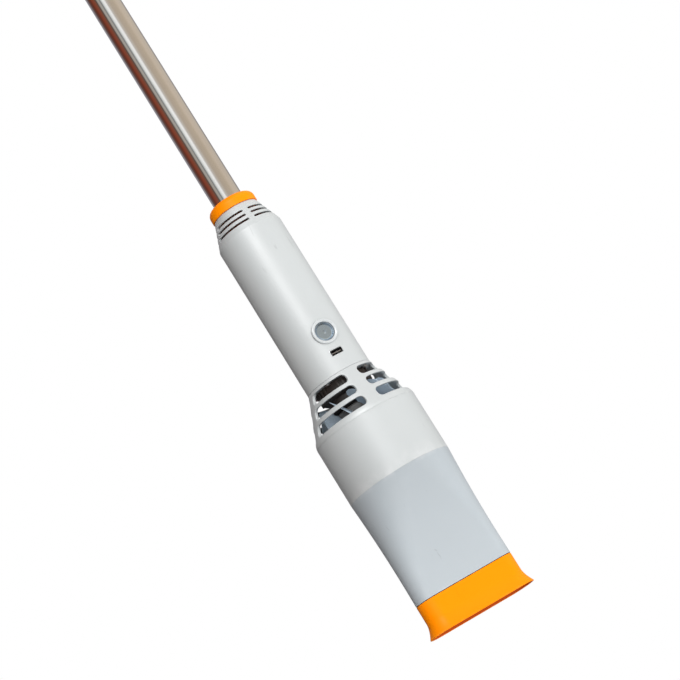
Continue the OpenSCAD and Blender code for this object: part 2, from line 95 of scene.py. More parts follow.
def add(nt, kind, **kw):
    n = nt.nodes.new(kind)
    for k, v in kw.items():
        if k in n.inputs:
            n.inputs[k].default_value = v
        else:
            setattr(n, k, v)
    return n


def coords(nt, scale=(1, 1, 1)):
    tc = add(nt, "ShaderNodeTexCoord")
    mp = add(nt, "ShaderNodeMapping")
    mp.inputs["Scale"].default_value = scale
    nt.links.new(tc.outputs["Object"], mp.inputs["Vector"])
    return mp.outputs["Vector"]


def noise(nt, vec, scale, detail=3.0, rough=0.55, distortion=0.0):
    n = add(nt, "ShaderNodeTexNoise")
    n.inputs["Scale"].default_value = scale
    n.inputs["Detail"].default_value = detail
    n.inputs["Roughness"].default_value = rough
    n.inputs["Distortion"].default_value = distortion
    nt.links.new(vec, n.inputs["Vector"])
    return n.outputs["Fac"]


def ramp(nt, fac, stops, interp="LINEAR"):
    r = add(nt, "ShaderNodeValToRGB")
    cr = r.color_ramp
    cr.interpolation = interp
    while len(cr.elements) < len(stops):
        cr.elements.new(0.5)
    for e, (p, c) in zip(cr.elements, stops):
        e.position = p
        e.color = c if len(c) == 4 else (*c, 1)
    nt.links.new(fac, r.inputs["Fac"])
    return r.outputs["Color"]


def grey(v):
    return (v, v, v)


def map_range(nt, fac, lo, hi, a=0.0, b=1.0):
    n = add(nt, "ShaderNodeMapRange")
    n.inputs["From Min"].default_value = a
    n.inputs["From Max"].default_value = b
    n.inputs["To Min"].default_value = lo
    n.inputs["To Max"].default_value = hi
    nt.links.new(fac, n.inputs["Value"])
    return n.outputs["Result"]


def mixc(nt, fac, a, b, blend="MIX"):
    n = add(nt, "ShaderNodeMix", data_type="RGBA", blend_type=blend)
    if isinstance(fac, (int, float)):
        n.inputs[0].default_value = fac
    else:
        nt.links.new(fac, n.inputs[0])
    for sock, v in ((n.inputs[6], a), (n.inputs[7], b)):
        if isinstance(v, tuple):
            sock.default_value = (*v, 1) if len(v) == 3 else v
        else:
            nt.links.new(v, sock)
    return n.outputs[2]


def bump(nt, b, height, strength, distance, prev=None):
    n = add(nt, "ShaderNodeBump")
    n.inputs["Strength"].default_value = strength
    n.inputs["Distance"].default_value = distance
    nt.links.new(height, n.inputs["Height"])
    if prev is not None:
        nt.links.new(prev, n.inputs["Normal"])
    nt.links.new(n.outputs["Normal"], b.inputs["Normal"])
    return n.outputs["Normal"]


def plastic(name, base, rough=0.42, tint=0.03, grain=900.0, grain_h=0.00002, scuffs=0.0, coat=0.0, ior=1.48, wear=None, spec=0.5, sss=0.0):
    """Moulded plastic: a fine spark-eroded grain, faint cloudiness, uneven gloss, a few scuffs."""
    m, nt, b = nodes_of(name)
    v = coords(nt)
    cloud = noise(nt, v, 9.0, 3.0, 0.5)
    fine = noise(nt, v, 70.0, 4.0, 0.6)
    lo = tuple(max(0.0, c * (1 - tint)) for c in base)
    hi = tuple(c * (1 + tint) for c in base)
    col = ramp(nt, cloud, [(0.3, lo), (0.7, hi)])
    if scuffs > 0:
        # thin grey rub marks that run mostly along the body, and a few specks of dirt
        sv = coords(nt, (1.0, 1.0, 0.22))
        s1 = noise(nt, sv, 95.0, 2.0, 0.5, 1.6)
        mask = ramp(nt, s1, [(0.0, grey(0)), (0.715, grey(0)), (0.76, grey(1))])
        spots = add(nt, "ShaderNodeTexVoronoi", feature="F1")
        spots.inputs["Scale"].default_value = 55.0
        spots.inputs["Randomness"].default_value = 1.0
        nt.links.new(v, spots.inputs["Vector"])
        dots = ramp(nt, spots.outputs["Distance"], [(0.0, grey(1)), (0.03, grey(1)), (0.05, grey(0))])
        # only some of the cells hold a speck
        pick = ramp(nt, noise(nt, v, 16.0, 1.0, 0.5), [(0.6, grey(0)), (0.66, grey(1))])
        both = mixc(nt, 1.0, dots, pick, "MULTIPLY")
        marks = mixc(nt, 1.0, mask, both, "ADD")
        fac = map_range(nt, marks, 0.0, scuffs)
        dark = tuple(c * 0.62 for c in base)
        col = mixc(nt, fac, col, dark)
    if wear is not None:
        geo = add(nt, "ShaderNodeNewGeometry")
        edge = ramp(nt, geo.outputs["Pointiness"], [(0.5, grey(0)), (0.56, grey(1))])
        worn = mixc(nt, 1.0, edge, ramp(nt, fine, [(0.4, grey(0)), (0.7, grey(1))]), "MULTIPLY")
        col = mixc(nt, map_range(nt, worn, 0.0, 0.5), col, wear)
    nt.links.new(col, b.inputs["Base Color"])
    nt.links.new(map_range(nt, mixc(nt, 0.5, cloud, fine), rough - 0.05, rough + 0.07, 0.3, 0.7), b.inputs["Roughness"])
    b.inputs["IOR"].default_value = ior
    b.inputs["Specular IOR Level"].default_value = spec
    b.inputs["Coat Weight"].default_value = coat
    b.inputs["Coat Roughness"].default_value = 0.2
    if sss:
        b.inputs["Subsurface Weight"].default_value = sss
        b.inputs["Subsurface Radius"].default_value = (0.004, 0.003, 0.002)
        b.inputs["Subsurface Scale"].default_value = 1.0
    n1 = bump(nt, b, noise(nt, v, grain, 2.0, 0.5), 0.35, grain_h)
    bump(nt, b, noise(nt, v, 22.0, 2.0, 0.5), 0.25, 0.00006, n1)
    return m


def metal(name, base, rough=0.15, brush=None, aniso=0.0, tint=0.05, scratch=0.3, pits=0.0):
    m, nt, b = nodes_of(name)
    v = coords(nt)
    cloud = noise(nt, v, 14.0, 3.0, 0.6)
    lo = tuple(c * (1 - tint) for c in base)
    hi = tuple(min(1.0, c * (1 + tint)) for c in base)
    nt.links.new(ramp(nt, cloud, [(0.3, lo), (0.7, hi)]), b.inputs["Base Color"])
    b.inputs["Metallic"].default_value = 1.0
    b.inputs["Anisotropic"].default_value = aniso
    bv = coords(nt, brush or (1, 1, 1))
    lines = noise(nt, bv, 260.0, 3.0, 0.6)
    nt.links.new(map_range(nt, mixc(nt, 0.5, cloud, lines), rough * 0.75, rough * 1.35, 0.3, 0.7), b.inputs["Roughness"])
    n1 = bump(nt, b, lines, scratch, 0.00001)
    if pits:
        bump(nt, b, noise(nt, v, 60.0, 3.0, 0.6), pits, 0.0001, n1)
    return m


MAT = {
    "white_shell": plastic("white_shell", (0.605, 0.635, 0.640), rough=0.45, spec=0.75, tint=0.012, scuffs=0.35, wear=(0.78, 0.79, 0.80)),
    "duct_shell": plastic("duct_shell", (0.512, 0.564, 0.600), rough=0.45, spec=0.6, tint=0.015, scuffs=0.45, wear=(0.76, 0.78, 0.80)),
    "bezel_shell": plastic("bezel_shell", (0.66, 0.69, 0.70), rough=0.36, tint=0.01, spec=0.4),
    # orange_shell: its red base above 1 gives back more red than falls on it, a painted red glow that keeps the shaded
    # side of the orange parts bright red
    "orange_shell": plastic("orange_shell", (1.3, 0.338, 0.0005), rough=0.42, tint=0.04, spec=0.05, scuffs=0.15, wear=(0.98, 0.42, 0.08), sss=0.0),
    "fan_plastic": plastic("fan_plastic", (0.50, 0.60, 0.70), rough=0.28, tint=0.04, spec=0.6),
    "motor_plastic": plastic("motor_plastic", (0.034, 0.026, 0.023), rough=0.5, tint=0.25, spec=0.3),
    "hub_plastic": plastic("hub_plastic", (0.15, 0.145, 0.14), rough=0.5, tint=0.12, spec=0.3),
    # painted shade: a darker copy of the orange for the inside of the nozzle's mouth
    "orange_painted_shade": plastic("orange_painted_shade", (0.62, 0.085, 0.004), rough=0.5, tint=0.06, spec=0.1),
    # painted shade: a near-black copy of the orange for the seam under the duct and for the clamp sleeve behind the
    # vent slots
    "orange_painted_dark_shade": plastic("orange_painted_dark_shade", (0.16, 0.028, 0.004), rough=0.5, tint=0.1, spec=0.1),
    "dark_plastic": plastic("dark_plastic", (0.030, 0.031, 0.034), rough=0.5, tint=0.2, wear=(0.09, 0.09, 0.095)),
    "grip_rubber": plastic("grip_rubber", (0.028, 0.029, 0.031), rough=0.72, tint=0.25, grain=1500.0, grain_h=0.00006, scuffs=0.0, wear=(0.075, 0.075, 0.078), spec=0.35),
    "port_plastic": plastic("port_plastic", (0.018, 0.018, 0.02), rough=0.35, tint=0.1),
    "board_green": plastic("board_green", (0.015, 0.13, 0.055), rough=0.3, tint=0.12, coat=0.3),
    "chip_black": plastic("chip_black", (0.02, 0.02, 0.022), rough=0.55, tint=0.1),
    "cell_can": plastic("cell_can", (0.05, 0.22, 0.42), rough=0.25, tint=0.05, coat=0.4),
    "wire_red": plastic("wire_red", (0.45, 0.015, 0.01), rough=0.4, tint=0.1),
    "wire_black": plastic("wire_black", (0.015, 0.015, 0.016), rough=0.45, tint=0.1),
    "steel_tube": metal("steel_tube", (0.80, 0.775, 0.75), rough=0.09, brush=(1, 1, 0.02), aniso=0.0, tint=0.03, scratch=0.25),
    "button_steel": metal("button_steel", (0.50, 0.64, 0.80), rough=0.24, tint=0.05, scratch=0.25, pits=0.12),
    "port_steel": metal("port_steel", (0.62, 0.62, 0.64), rough=0.25),
    "screw_steel": metal("screw_steel", (0.50, 0.50, 0.51), rough=0.28, pits=0.1),
    "spring_steel": metal("spring_steel", (0.7, 0.7, 0.7), rough=0.2),
    "brass_post": metal("brass_post", (0.80, 0.60, 0.26), rough=0.25),
    "nickel_strip": metal("nickel_strip", (0.66, 0.64, 0.60), rough=0.3),
    "alu_cast": metal("alu_cast", (0.68, 0.68, 0.69), rough=0.35, pits=0.3),
    "stator_steel": metal("stator_steel", (0.30, 0.30, 0.32), rough=0.4, brush=(1, 1, 30)),
    "copper_wire": metal("copper_wire", (0.72, 0.33, 0.14), rough=0.3, brush=(1, 1, 20)),
    "bearing_steel": metal("bearing_steel", (0.66, 0.66, 0.68), rough=0.15),
    "magnet_grey": metal("magnet_grey", (0.22, 0.22, 0.23), rough=0.45, pits=0.2),
}


# ---------------------------------------------------------------- mesh helpers (millimetres in, metres out)
def make(name, verts, faces, slot, body=BODY, replaces=(), sharp=38.0, merge=1e-4, weighted=True):
    me = bpy.data.meshes.new(name)
    me.from_pydata([(x * MM, y * MM, z * MM) for x, y, z in verts], [], faces)
    me.validate()
    o = bpy.data.objects.new(name, me)
    bpy.context.scene.collection.objects.link(o)
    import bmesh
    bm = bmesh.new()
    bm.from_mesh(me)
    if merge:
        bmesh.ops.remove_doubles(bm, verts=bm.verts, dist=merge * MM * 10)
    bmesh.ops.dissolve_degenerate(bm, edges=bm.edges, dist=1e-8)
    bmesh.ops.recalc_face_normals(bm, faces=bm.faces)
    bm.to_mesh(me)
    bm.free()
    me.polygons.foreach_set("use_smooth", [True] * len(me.polygons))
    me.set_sharp_from_angle(angle=math.radians(sharp))
    me.materials.append(MAT[slot])
    if weighted:
        w = o.modifiers.new("normals", "WEIGHTED_NORMAL")
        w.keep_sharp = True
        w.weight = 60
    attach(o, body)
    if replaces:
        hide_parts(*replaces)
    return o


def second(o, mat, test):
    """Gives the faces that pass the test (centre in millimetres) another material."""
    o.data.materials.append(MAT[mat])
    k = len(o.data.materials) - 1
    for p in o.data.polygons:
        if test(p.center * 1000, p.normal):
            p.material_index = k


def rounded(pts, closed=True, seg=5):
    """A polyline given as (x, y, radius) with its corners turned into arcs."""
    out = []
    n = len(pts)
    for i, p3 in enumerate(pts):
        x, y, r = p3
        if r <= 0 or (not closed and i in (0, n - 1)):
            out.append((x, y))
            continue
        p = Vector((x, y))
        a = Vector(pts[i - 1][:2])
        b = Vector(pts[(i + 1) % n][:2])
        u, v = a - p, b - p
        lu, lv = u.length, v.length
        u, v = u / lu, v / lv
        ang = math.acos(max(-1, min(1, u.dot(v))))
        if ang > math.pi - 1e-3:
            out.append((x, y))
            continue
        t = min(r / math.tan(ang / 2), lu * 0.49, lv * 0.49)
        rr = t * math.tan(ang / 2)
        c = p + (u + v).normalized() * (rr / math.sin(ang / 2))
        p1, p2 = p + u * t, p + v * t
        a1 = math.atan2(p1.y - c.y, p1.x - c.x)
        a2 = math.atan2(p2.y - c.y, p2.x - c.x)
        d = (a2 - a1 + math.pi) % (2 * math.pi) - math.pi
        for k in range(seg + 1):
            q = a1 + d * k / seg
            out.append((c.x + rr * math.cos(q), c.y + rr * math.sin(q)))
    return out


def spin(profile, n=128, closed=True, a0=0.0):
    """Revolves (r, z) points round Z. A closed profile becomes a closed ring; an open one should end on the axis."""
    verts, faces = [], []
    m = len(profile)
    for i in range(n):
        a = a0 + 2 * math.pi * i / n
        ca, sa = math.cos(a), math.sin(a)
        for r, z in profile:
            verts.append((r * ca, r * sa, z))
    for i in range(n):
        j = (i + 1) % n
        for k in range(m if closed else m - 1):
            l = (k + 1) % m
            faces.append((i * m + k, j * m + k, j * m + l, i * m + l))
    return verts, faces


def join(*parts):
    verts, faces = [], []
    for v, f in parts:
        o = len(verts)
        verts += list(v)
        faces += [tuple(i + o for i in q) for q in f]
    return verts, faces


def move(part, fn):
    v, f = part
    return [fn(*p) for p in v], f


def about_y(part, z0=0.0, x0=0.0):
    """Turns a piece made round +Z so that its +Z points along +Y, at height z0."""
    return move(part, lambda x, y, z: (x + x0, z, y + z0))


def skin(rings, closed=True, caps=False):
    verts, faces = [], []
    n = len(rings[0])
    m = len(rings)
    for r in rings:
        verts += list(r)
    for j in range(m if closed else m - 1):
        q = (j + 1) % m
        for i in range(n):
            k = (i + 1) % n
            faces.append((j * n + i, j * n + k, q * n + k, q * n + i))
    if caps and not closed:
        faces.append(tuple(range(n - 1, -1, -1)))
        faces.append(tuple((m - 1) * n + i for i in range(n)))
    return verts, faces


def block(x0, y0, z0, x1, y1, z1, r=0.3, seg=3):
    """A box with rounded vertical edges and softened top and bottom."""
    def ring(e, z):
        pts = rounded([(x0 + e, y0 + e, max(r - e, 0.02)), (x1 - e, y0 + e, max(r - e, 0.02)), (x1 - e, y1 - e, max(r - e, 0.02)), (x0 + e, y1 - e, max(r - e, 0.02))], True, seg)
        return [(x, y, z) for x, y in pts]
    b = min(r * 0.6, (z1 - z0) * 0.3)
    rings = [ring(b, z0), ring(b * 0.3, z0 + b * 0.3), ring(0, z0 + b), ring(0, z1 - b), ring(b * 0.3, z1 - b * 0.3), ring(b, z1)]
    return skin(rings, closed=False, caps=True)


# ---------------------------------------------------------------- shells with windows
def window_shell(R, wall, rows, cells, rib_half, rc, fil, n_h=16, n_v=10, K=3):
    """A surface of revolution of outer radius R(z), with rows of windows between four ribs of constant width.
    The window walls run parallel to the ribs, every edge is rounded, and everything is quads."""
    parts = []
    Q = math.pi / 4

    def cell_edge(z0, z1):
        pts = [(Q * (1 - i / n_h), z1) for i in range(n_h)]
        pts += [(0.0, z1 + (z0 - z1) * i / n_v) for i in range(n_v)]
        pts += [(Q * i / n_h, z0) for i in range(n_h + 1)]
        return pts

    def hole(z0, z1, e, d):
        c = min(rc, (z1 - z0) / 2 * 0.98)
        pc = rib_half + c
        out = []
        na, ns = 6, 2                      # arc segments, and how many of them belong to the top side
        top, bot = z1 + e, z0 - e
        rt = R(top) - d
        ts = math.asin(min(0.999, pc / rt))
        nt_ = n_h - ns
        for i in range(nt_):
            out.append((Q + (ts - Q) * i / nt_, top))
        side = n_v - 2 * (na - ns)
        for i in range(na):
            a = math.pi / 2 + math.pi / 2 * i / na
            p, z = pc + (c + e) * math.cos(a), (z1 - c) + (c + e) * math.sin(a)
            out.append((math.asin(p / (R(z) - d)), z))
        for i in range(side + 1):
            z = (z1 - c) + ((z0 + c) - (z1 - c)) * i / max(side, 1)
            if i == side and side == 0:
                pass
            out.append((math.asin((rib_half - e) / (R(z) - d)), z))
        for i in range(1, na + 1):
            a = math.pi + math.pi / 2 * i / na
            p, z = pc + (c + e) * math.cos(a), (z0 + c) + (c + e) * math.sin(a)
            out.append((math.asin(p / (R(z) - d)), z))
        rb = R(bot) - d
        te = math.asin(min(0.999, pc / rb))
        for i in range(1, nt_ + 1):
            out.append((te + (Q - te) * i / nt_, bot))
        return out

    def place(pts, d):
        return [((R(z) - d) * math.cos(t), (R(z) - d) * math.sin(t), z) for t, z in pts]

    for (h0, h1), (c0, c1) in zip(rows, cells):
        outer = cell_edge(c0, c1)
        strips = []

        def between(a, b, k):
            return [(x0 + (x1 - x0) * k, y0 + (y1 - y0) * k) for (x0, y0), (x1, y1) in zip(a, b)]

        first = hole(h0, h1, fil, 0)
        assert len(first) == len(outer), (len(first), len(outer))
        strips.append(place(outer, 0))
        for k in range(1, K + 1):
            strips.append(place(between(outer, first, 1 - (1 - k / (K + 1)) ** 1.5), 0))
        strips.append(place(first, 0))
        for j in range(1, 5):
            a = math.pi / 2 * j / 4
            strips.append(place(hole(h0, h1, fil * (1 - math.sin(a)), fil * (1 - math.cos(a))), fil * (1 - math.cos(a))))
        f2 = fil * 0.6
        strips.append(place(hole(h0, h1, 0, wall - f2), wall - f2))
        for j in (1, 2):
            a = math.pi / 2 * j / 2
            strips.append(place(hole(h0, h1, f2 * (1 - math.cos(a)), 0), wall - f2 + f2 * math.sin(a)))
        last = hole(h0, h1, f2, wall)
        strips[-1] = place(last, wall)
        for k in range(1, K + 1):
            strips.append(place(between(last, outer, k / (K + 1)), wall))
        strips.append(place(outer, wall))
        n = len(outer)
        verts = [p for s in strips for p in s]
        faces = []
        for j in range(len(strips) - 1):
            for i in range(n - 1):
                faces.append((j * n + i, j * n + i + 1, (j + 1) * n + i + 1, (j + 1) * n + i))
        for q in range(4):
            ca, sa = round(math.cos(q * math.pi / 2)), round(math.sin(q * math.pi / 2))
            parts.append(([(x * ca - y * sa, x * sa + y * ca, z) for x, y, z in verts], faces))
            # the other half of the quadrant, mirrored about its middle plane
            parts.append(([(y * ca - x * sa, y * sa + x * ca, z) for x, y, z in verts], [tuple(reversed(f)) for f in faces]))
    return parts


def band(profile, n=128):
    return spin(profile, n, closed=False)


# ---------------------------------------------------------------- intake cone, with the shoulder
def cone_r(z):
    return CASING_R + (BODY_R - CASING_R) * (z - SHOULDER) / (JOINT - SHOULDER)


def shoulder_r(z):
    """The cone with its lower edge turned over to the casing by a small radius."""
    if z >= SHOULDER + 5:
        return cone_r(z)
    # parabola tangent to the casing below and to the cone above
    t = (z - (SHOULDER - 3.0)) / 8.0
    if t <= 0:
        return CASING_R
    slope = (BODY_R - CASING_R) / (JOINT - SHOULDER)
    return CASING_R + slope * 8.0 * t * t / 2 * 1.0 + (cone_r(SHOULDER + 5) - CASING_R - slope * 4.0) * t * t


CW = 3.25
WIN = [(224.8, 235.6), (240.6, 250.9), (255.2, 265.6)]
CELL = [(222.4, 238.1), (238.1, 253.05), (253.05, 267.4)]
wp = window_shell(lambda z: cone_r(z), CW, WIN, CELL, 7.2, 4.3, 0.75, n_v=12)

z_low, z_top = CELL[0][0], CELL[-1][1]
# top: outer edge up to the joint, over the spigot, and back down the inside
top_prof = [(cone_r(z_low + 0) * 0 + cone_r(z_top), z_top)]
top_prof += rounded([(cone_r(z_top), z_top, 0), (cone_r(268.4), 268.4, 0.9), (BODY_R, 269.0, 0.0)], False, 4)[1:-1]
top_prof += [(BODY_R + 0.05, JOINT - 0.22), (BODY_R - 0.12, JOINT), (32.85, JOINT), (32.85, 273.4), (32.5, 274.0), (31.1, 274.0), (30.8, 273.4), (30.8, JOINT), (18.5, JOINT), (17.0, 268.5), (17.0, 266.9), (17.6, 266.2), (cone_r(266.2) - CW - 0.3, 266.2), (cone_r(z_top) - CW, z_top - 0.9)]
# the inner run ends on the lowest ring of the window band, just under the flange
top_prof[-1] = (cone_r(z_top) - CW, z_top)
bot_prof = [(cone_r(z_low), z_low)]
for i in range(1, 9):
    z = z_low - (z_low - (SHOULDER - 2.2)) * i / 8
    t = i / 8
    # smooth turn from the cone's slope to the casing's vertical wall
    s = (BODY_R - CASING_R) / (JOINT - SHOULDER)
    bot_prof.append((min(CASING_R, cone_r(z_low) + (-s) * (z_low - z) * (1 - t / 2)), z))
EDGE_R = bot_prof[-1][0]
# stretch so that it ends exactly on the casing radius
gain = (CASING_R - bot_prof[0][0]) / (EDGE_R - bot_prof[0][0])
bot_prof = [(bot_prof[0][0] + (r - bot_prof[0][0]) * gain, z) for r, z in bot_prof]
LOWEDGE = bot_prof[-1][1]
bot_prof += [(CASING_R - 0.06, LOWEDGE - 0.05), (52.85, LOWEDGE - 0.05), (52.85, 214.6), (52.4, 214.0), (51.5, 214.0), (51.1, 214.6), (51.1, 219.6), (cone_r(221.0) - CW, 221.2), (cone_r(z_low) - CW, z_low)]
make("intake_cone_shell", *join(*wp, band(top_prof), band(bot_prof)), "white_shell", replaces=("intake_cone",), sharp=50)

# fan casing: a plain round shell, its top tucked under the shoulder
casing_prof = rounded([
    (CASING_R, DUCT_TOP + 0.05, 0.0), (CASING_R, LOWEDGE - 0.12, 0.05), (53.0, LOWEDGE - 0.12, 0.3), (53.0, DUCT_TOP + 0.2, 0.3), (CASING_R - 0.4, DUCT_TOP + 0.15, 0.0)], True, 3)
rows_extra = [(CASING_R, DUCT_TOP + 0.05 + (LOWEDGE - 0.4 - DUCT_TOP) * i / 8) for i in range(1, 8)]
casing_prof = [casing_prof[0]] + rows_extra + casing_prof[1:]
make("fan_casing_shell", *spin(casing_prof), "white_shell", replaces=("fan_casing",), sharp=60)


# ---------------------------------------------------------------- duct and nozzle
def oval(w, t, z, n=160):
    """A flat oval: two half circles joined by straight sides. The straight sides get their own points."""
    e = max(0.0, (w - t) / 2)
    out = []
    half = n // 4
    flat = 8
    for side in (1, -1):
        for i in range(half + 1):
            a = math.radians(-90 + 180 * i / half) if side > 0 else math.radians(90 + 180 * i / half)
            out.append((side * e + t / 2 * math.cos(a), t / 2 * math.sin(a), z))
        for i in range(1, flat):
            s = i / flat
            out.append((side * e * (1 - 2 * s), side * t / 2, z))
    return out


OVAL_W = 112.0
OVAL_T = 31.0


def duct_f(z):
    return (DUCT_TOP - z) / (DUCT_TOP - SEAM)


def duct_t(z):
    return 2 * CASING_R - (2 * CASING_R - OVAL_T) * (1 - (1 - duct_f(z)) ** 2)


def duct_w(z):
    return OVAL_W - 1.2 * math.sin(math.pi * duct_f(z))


zs = [DUCT_TOP - (DUCT_TOP - SEAM - 0.3) * (i / 60) for i in range(61)]
rings = []
lip = SEAM + 0.3
for z in reversed(zs):
    if z < lip + 0.5:
        continue
    rings.append(oval(duct_w(z), duct_t(z), z))
start = [oval(duct_w(lip) - 0.8, duct_t(lip) - 0.8, lip), oval(duct_w(lip) - 0.28, duct_t(lip) - 0.28, lip + 0.06), oval(duct_w(lip), duct_t(lip), lip + 0.35)]
rings = start + rings
inner = []
inner.append(oval(105.6, 105.6, DUCT_TOP))
inner.append(oval(105.6, 105.6, DUCT_TOP + 7.7))
inner.append(oval(105.0, 105.0, DUCT_TOP + 8))
inner.append(oval(102.0, 102.0, DUCT_TOP + 8))
inner.append(oval(101.6, 101.6, DUCT_TOP + 7.5))
inner.append(oval(101.6, 101.6, DUCT_TOP - 1))
for i in range(31):
    z = 147 - (147 - lip - 0.3) * i / 30
    inner.append(oval(duct_w(z) - 5.2, duct_t(z) - 5.2, z))
inner.append(oval(duct_w(lip) - 4.6, duct_t(lip) - 4.6, lip))
make("transition_duct_shell", *skin(rings + inner), "duct_shell", replaces=("transition_duct",), sharp=32)

FLARE = (noz_hi[0] - OVAL_W / 2) / ((15.3 / 16) ** 1.7)


def flare_at(z):
    return 0.0 if z > 16 else FLARE * ((16 - z) / 16) ** 1.7


top = SEAM - 0.3
W = 2.4
rings = []
f0 = flare_at(0.7)
# rim: rounded lip
for k in range(0, 5):
    a = math.pi / 2 * k / 4
    e = 0.7 * (1 - math.sin(a))
    rings.append(oval(OVAL_W + 2 * f0 - 2 * e, OVAL_T + 2 * f0 - 2 * e, 0.7 * (1 - math.cos(a))))
for i in range(1, 21):
    z = 0.7 + 15.3 * i / 20
    rings.append(oval(OVAL_W + 2 * flare_at(z), OVAL_T + 2 * flare_at(z), z))
for z in (19, 22, 25, 28, 31, top - 0.9, top - 0.35):
    rings.append(oval(OVAL_W, OVAL_T, z))
rings.append(oval(OVAL_W - 0.2, OVAL_T - 0.2, top - 0.08))
rings.append(oval(OVAL_W - 0.7, OVAL_T - 0.7, top))
rings.append(oval(OVAL_W - 5.7, OVAL_T - 5.7, top))
rings.append(oval(OVAL_W - 5.7, OVAL_T - 5.7, SEAM + 7))
rings.append(oval(OVAL_W - 6.5, OVAL_T - 6.5, SEAM + 8))
rings.append(oval(OVAL_W - 9.3, OVAL_T - 9.3, SEAM + 8))
rings.append(oval(OVAL_W - 9.3, OVAL_T - 9.3, top))
for z in (31, 28, 24, 20):
    k = (31 - z) / 11
    rings.append(oval(OVAL_W - 9.3 + 4.5 * k, OVAL_T - 9.3 + 4.5 * k, z))
for i in range(16, -1, -1):
    z = 0.9 + 15.1 * i / 16
    rings.append(oval(OVAL_W + 2 * flare_at(z) - 2 * W, OVAL_T + 2 * flare_at(z) - 2 * W, z))
f0i = flare_at(0.9) - W
rings.append(oval(OVAL_W + 2 * f0i + 0.5, OVAL_T + 2 * f0i + 0.5, 0.3))
rings.append(oval(OVAL_W + 2 * f0i + 1.6, OVAL_T + 2 * f0i + 1.6, 0.0))
nozzle = make("nozzle_shell", *skin(rings), "orange_shell", replaces=("nozzle",), sharp=40)


def inside_oval(p, less):
    """Is this point inside the oval of the nozzle at its height, drawn in by the given amount?"""
    f = flare_at(p.z)
    e = (OVAL_W - OVAL_T) / 2
    dx = max(0.0, abs(p.x) - e)
    return math.hypot(dx, p.y) < OVAL_T / 2 + f - less


# the inner faces of the mouth get the darker orange: painted shade
second(nozzle, "orange_painted_shade", lambda p, n: p.z > 0.25 and inside_oval(p, 1.3))
# the top of the nozzle, in the seam under the duct, gets the near-black orange: a painted shadow in the gap
second(nozzle, "orange_painted_dark_shade", lambda p, n: p.z > top - 0.05)


# ---------------------------------------------------------------- battery housing with vented cone, button hole and port
VENT0, VENT1 = 442.5, house_hi[2]
VR1 = 24.4
BW = 2.5


def vent_r(z):
    return BODY_R + (VR1 - BODY_R) * (z - VENT0) / (VENT1 - VENT0)


slots = [(z - 1.2, z + 1.2) for z in (451.1, 457.1, 462.8)]
vcells = [(448.1, 454.1), (454.1, 459.95), (459.95, 465.7)]
vp = window_shell(vent_r, BW, slots, vcells, 3.0, 1.17, 0.3, n_v=8, K=2)
NSEG = 128


def front_cell(half_seg, z0, z1, n_v, hole_fn, fils, wall, K=4):
    """A patch of the round wall on the front, with a hole whose walls run straight back along Y."""
    step = 2 * math.pi / NSEG
    mid = -math.pi / 2
    edge = []
    n_h = 2 * half_seg
    for i in range(n_h):
        edge.append((mid + step * (-half_seg + i), z0))
    for i in range(n_v):
        edge.append((mid + step * half_seg, z0 + (z1 - z0) * i / n_v))
    for i in range(n_h):
        edge.append((mid + step * (half_seg - i), z1))
    for i in range(n_v):
        edge.append((mid - step * half_seg, z1 + (z0 - z1) * i / n_v))
    zc = (z0 + z1) / 2

    def at(pts, d):
        return [((BODY_R - d) * math.cos(t), (BODY_R - d) * math.sin(t), z) for t, z in pts]

    def hole_at(e, d):
        out = []
        for i in range(len(edge)):
            x, z = hole_fn(i, edge, e)
            y = -math.sqrt(max(0.0, (BODY_R - d) ** 2 - x * x))
            out.append((x, y, z))
        return out

    def polar(pts):
        return [(math.atan2(y, x), z) for x, y, z in pts]

    strips = [at(edge, 0)]
    h0 = hole_at(fils, 0)
    ph = polar(h0)
    for k in range(1, K + 1):
        s = 1 - (1 - k / (K + 1)) ** 1.4
        strips.append(at([(a + (b - a) * s, c + (d - c) * s) for (a, c), (b, d) in zip(edge, ph)], 0))
    strips.append(h0)
    for j in range(1, 4):
        a = math.pi / 2 * j / 3
        strips.append(hole_at(fils * (1 - math.sin(a)), fils * (1 - math.cos(a))))
    strips.append(hole_at(0, wall))
    pw = polar(hole_at(0, wall))
    for k in range(1, 3):
        s = k / 3
        strips.append(at([(b + (a - b) * s, d + (c - d) * s) for (a, c), (b, d) in zip(edge, pw)], wall))
    strips.append(at(edge, wall))
    n = len(edge)
    verts = [p for s in strips for p in s]
    faces = []
    for j in range(len(strips) - 1):
        for i in range(n):
            k = (i + 1) % n
            faces.append((j * n + i, j * n + k, (j + 1) * n + k, (j + 1) * n + i))
    return verts, faces


def patch(z0, z1, rows, half_seg, wall):
    """The rest of the round wall beside a front cell, outside and inside."""
    step = 2 * math.pi / NSEG
    mid = -math.pi / 2
    a0, n = mid + step * half_seg, NSEG - 2 * half_seg
    parts = []
    for d in (0, wall):
        verts = [((BODY_R - d) * math.cos(a0 + step * i), (BODY_R - d) * math.sin(a0 + step * i), z0 + (z1 - z0) * j / rows) for j in range(rows + 1) for i in range(n + 1)]
        faces = [(j * (n + 1) + i, j * (n + 1) + i + 1, (j + 1) * (n + 1) + i + 1, (j + 1) * (n + 1) + i) for j in range(rows) for i in range(n)]
        parts.append((verts, faces))
    return join(*parts)


HR = 12.45


def round_hole(i, edge, e):
    t, z = edge[i]
    zc = BUTTON_Z
    u = (t + math.pi / 2) * BODY_R
    a = math.atan2(z - zc, u)
    return (HR + e) * math.cos(a), zc + (HR + e) * math.sin(a)


PX, PZ = 6.6, 2.95


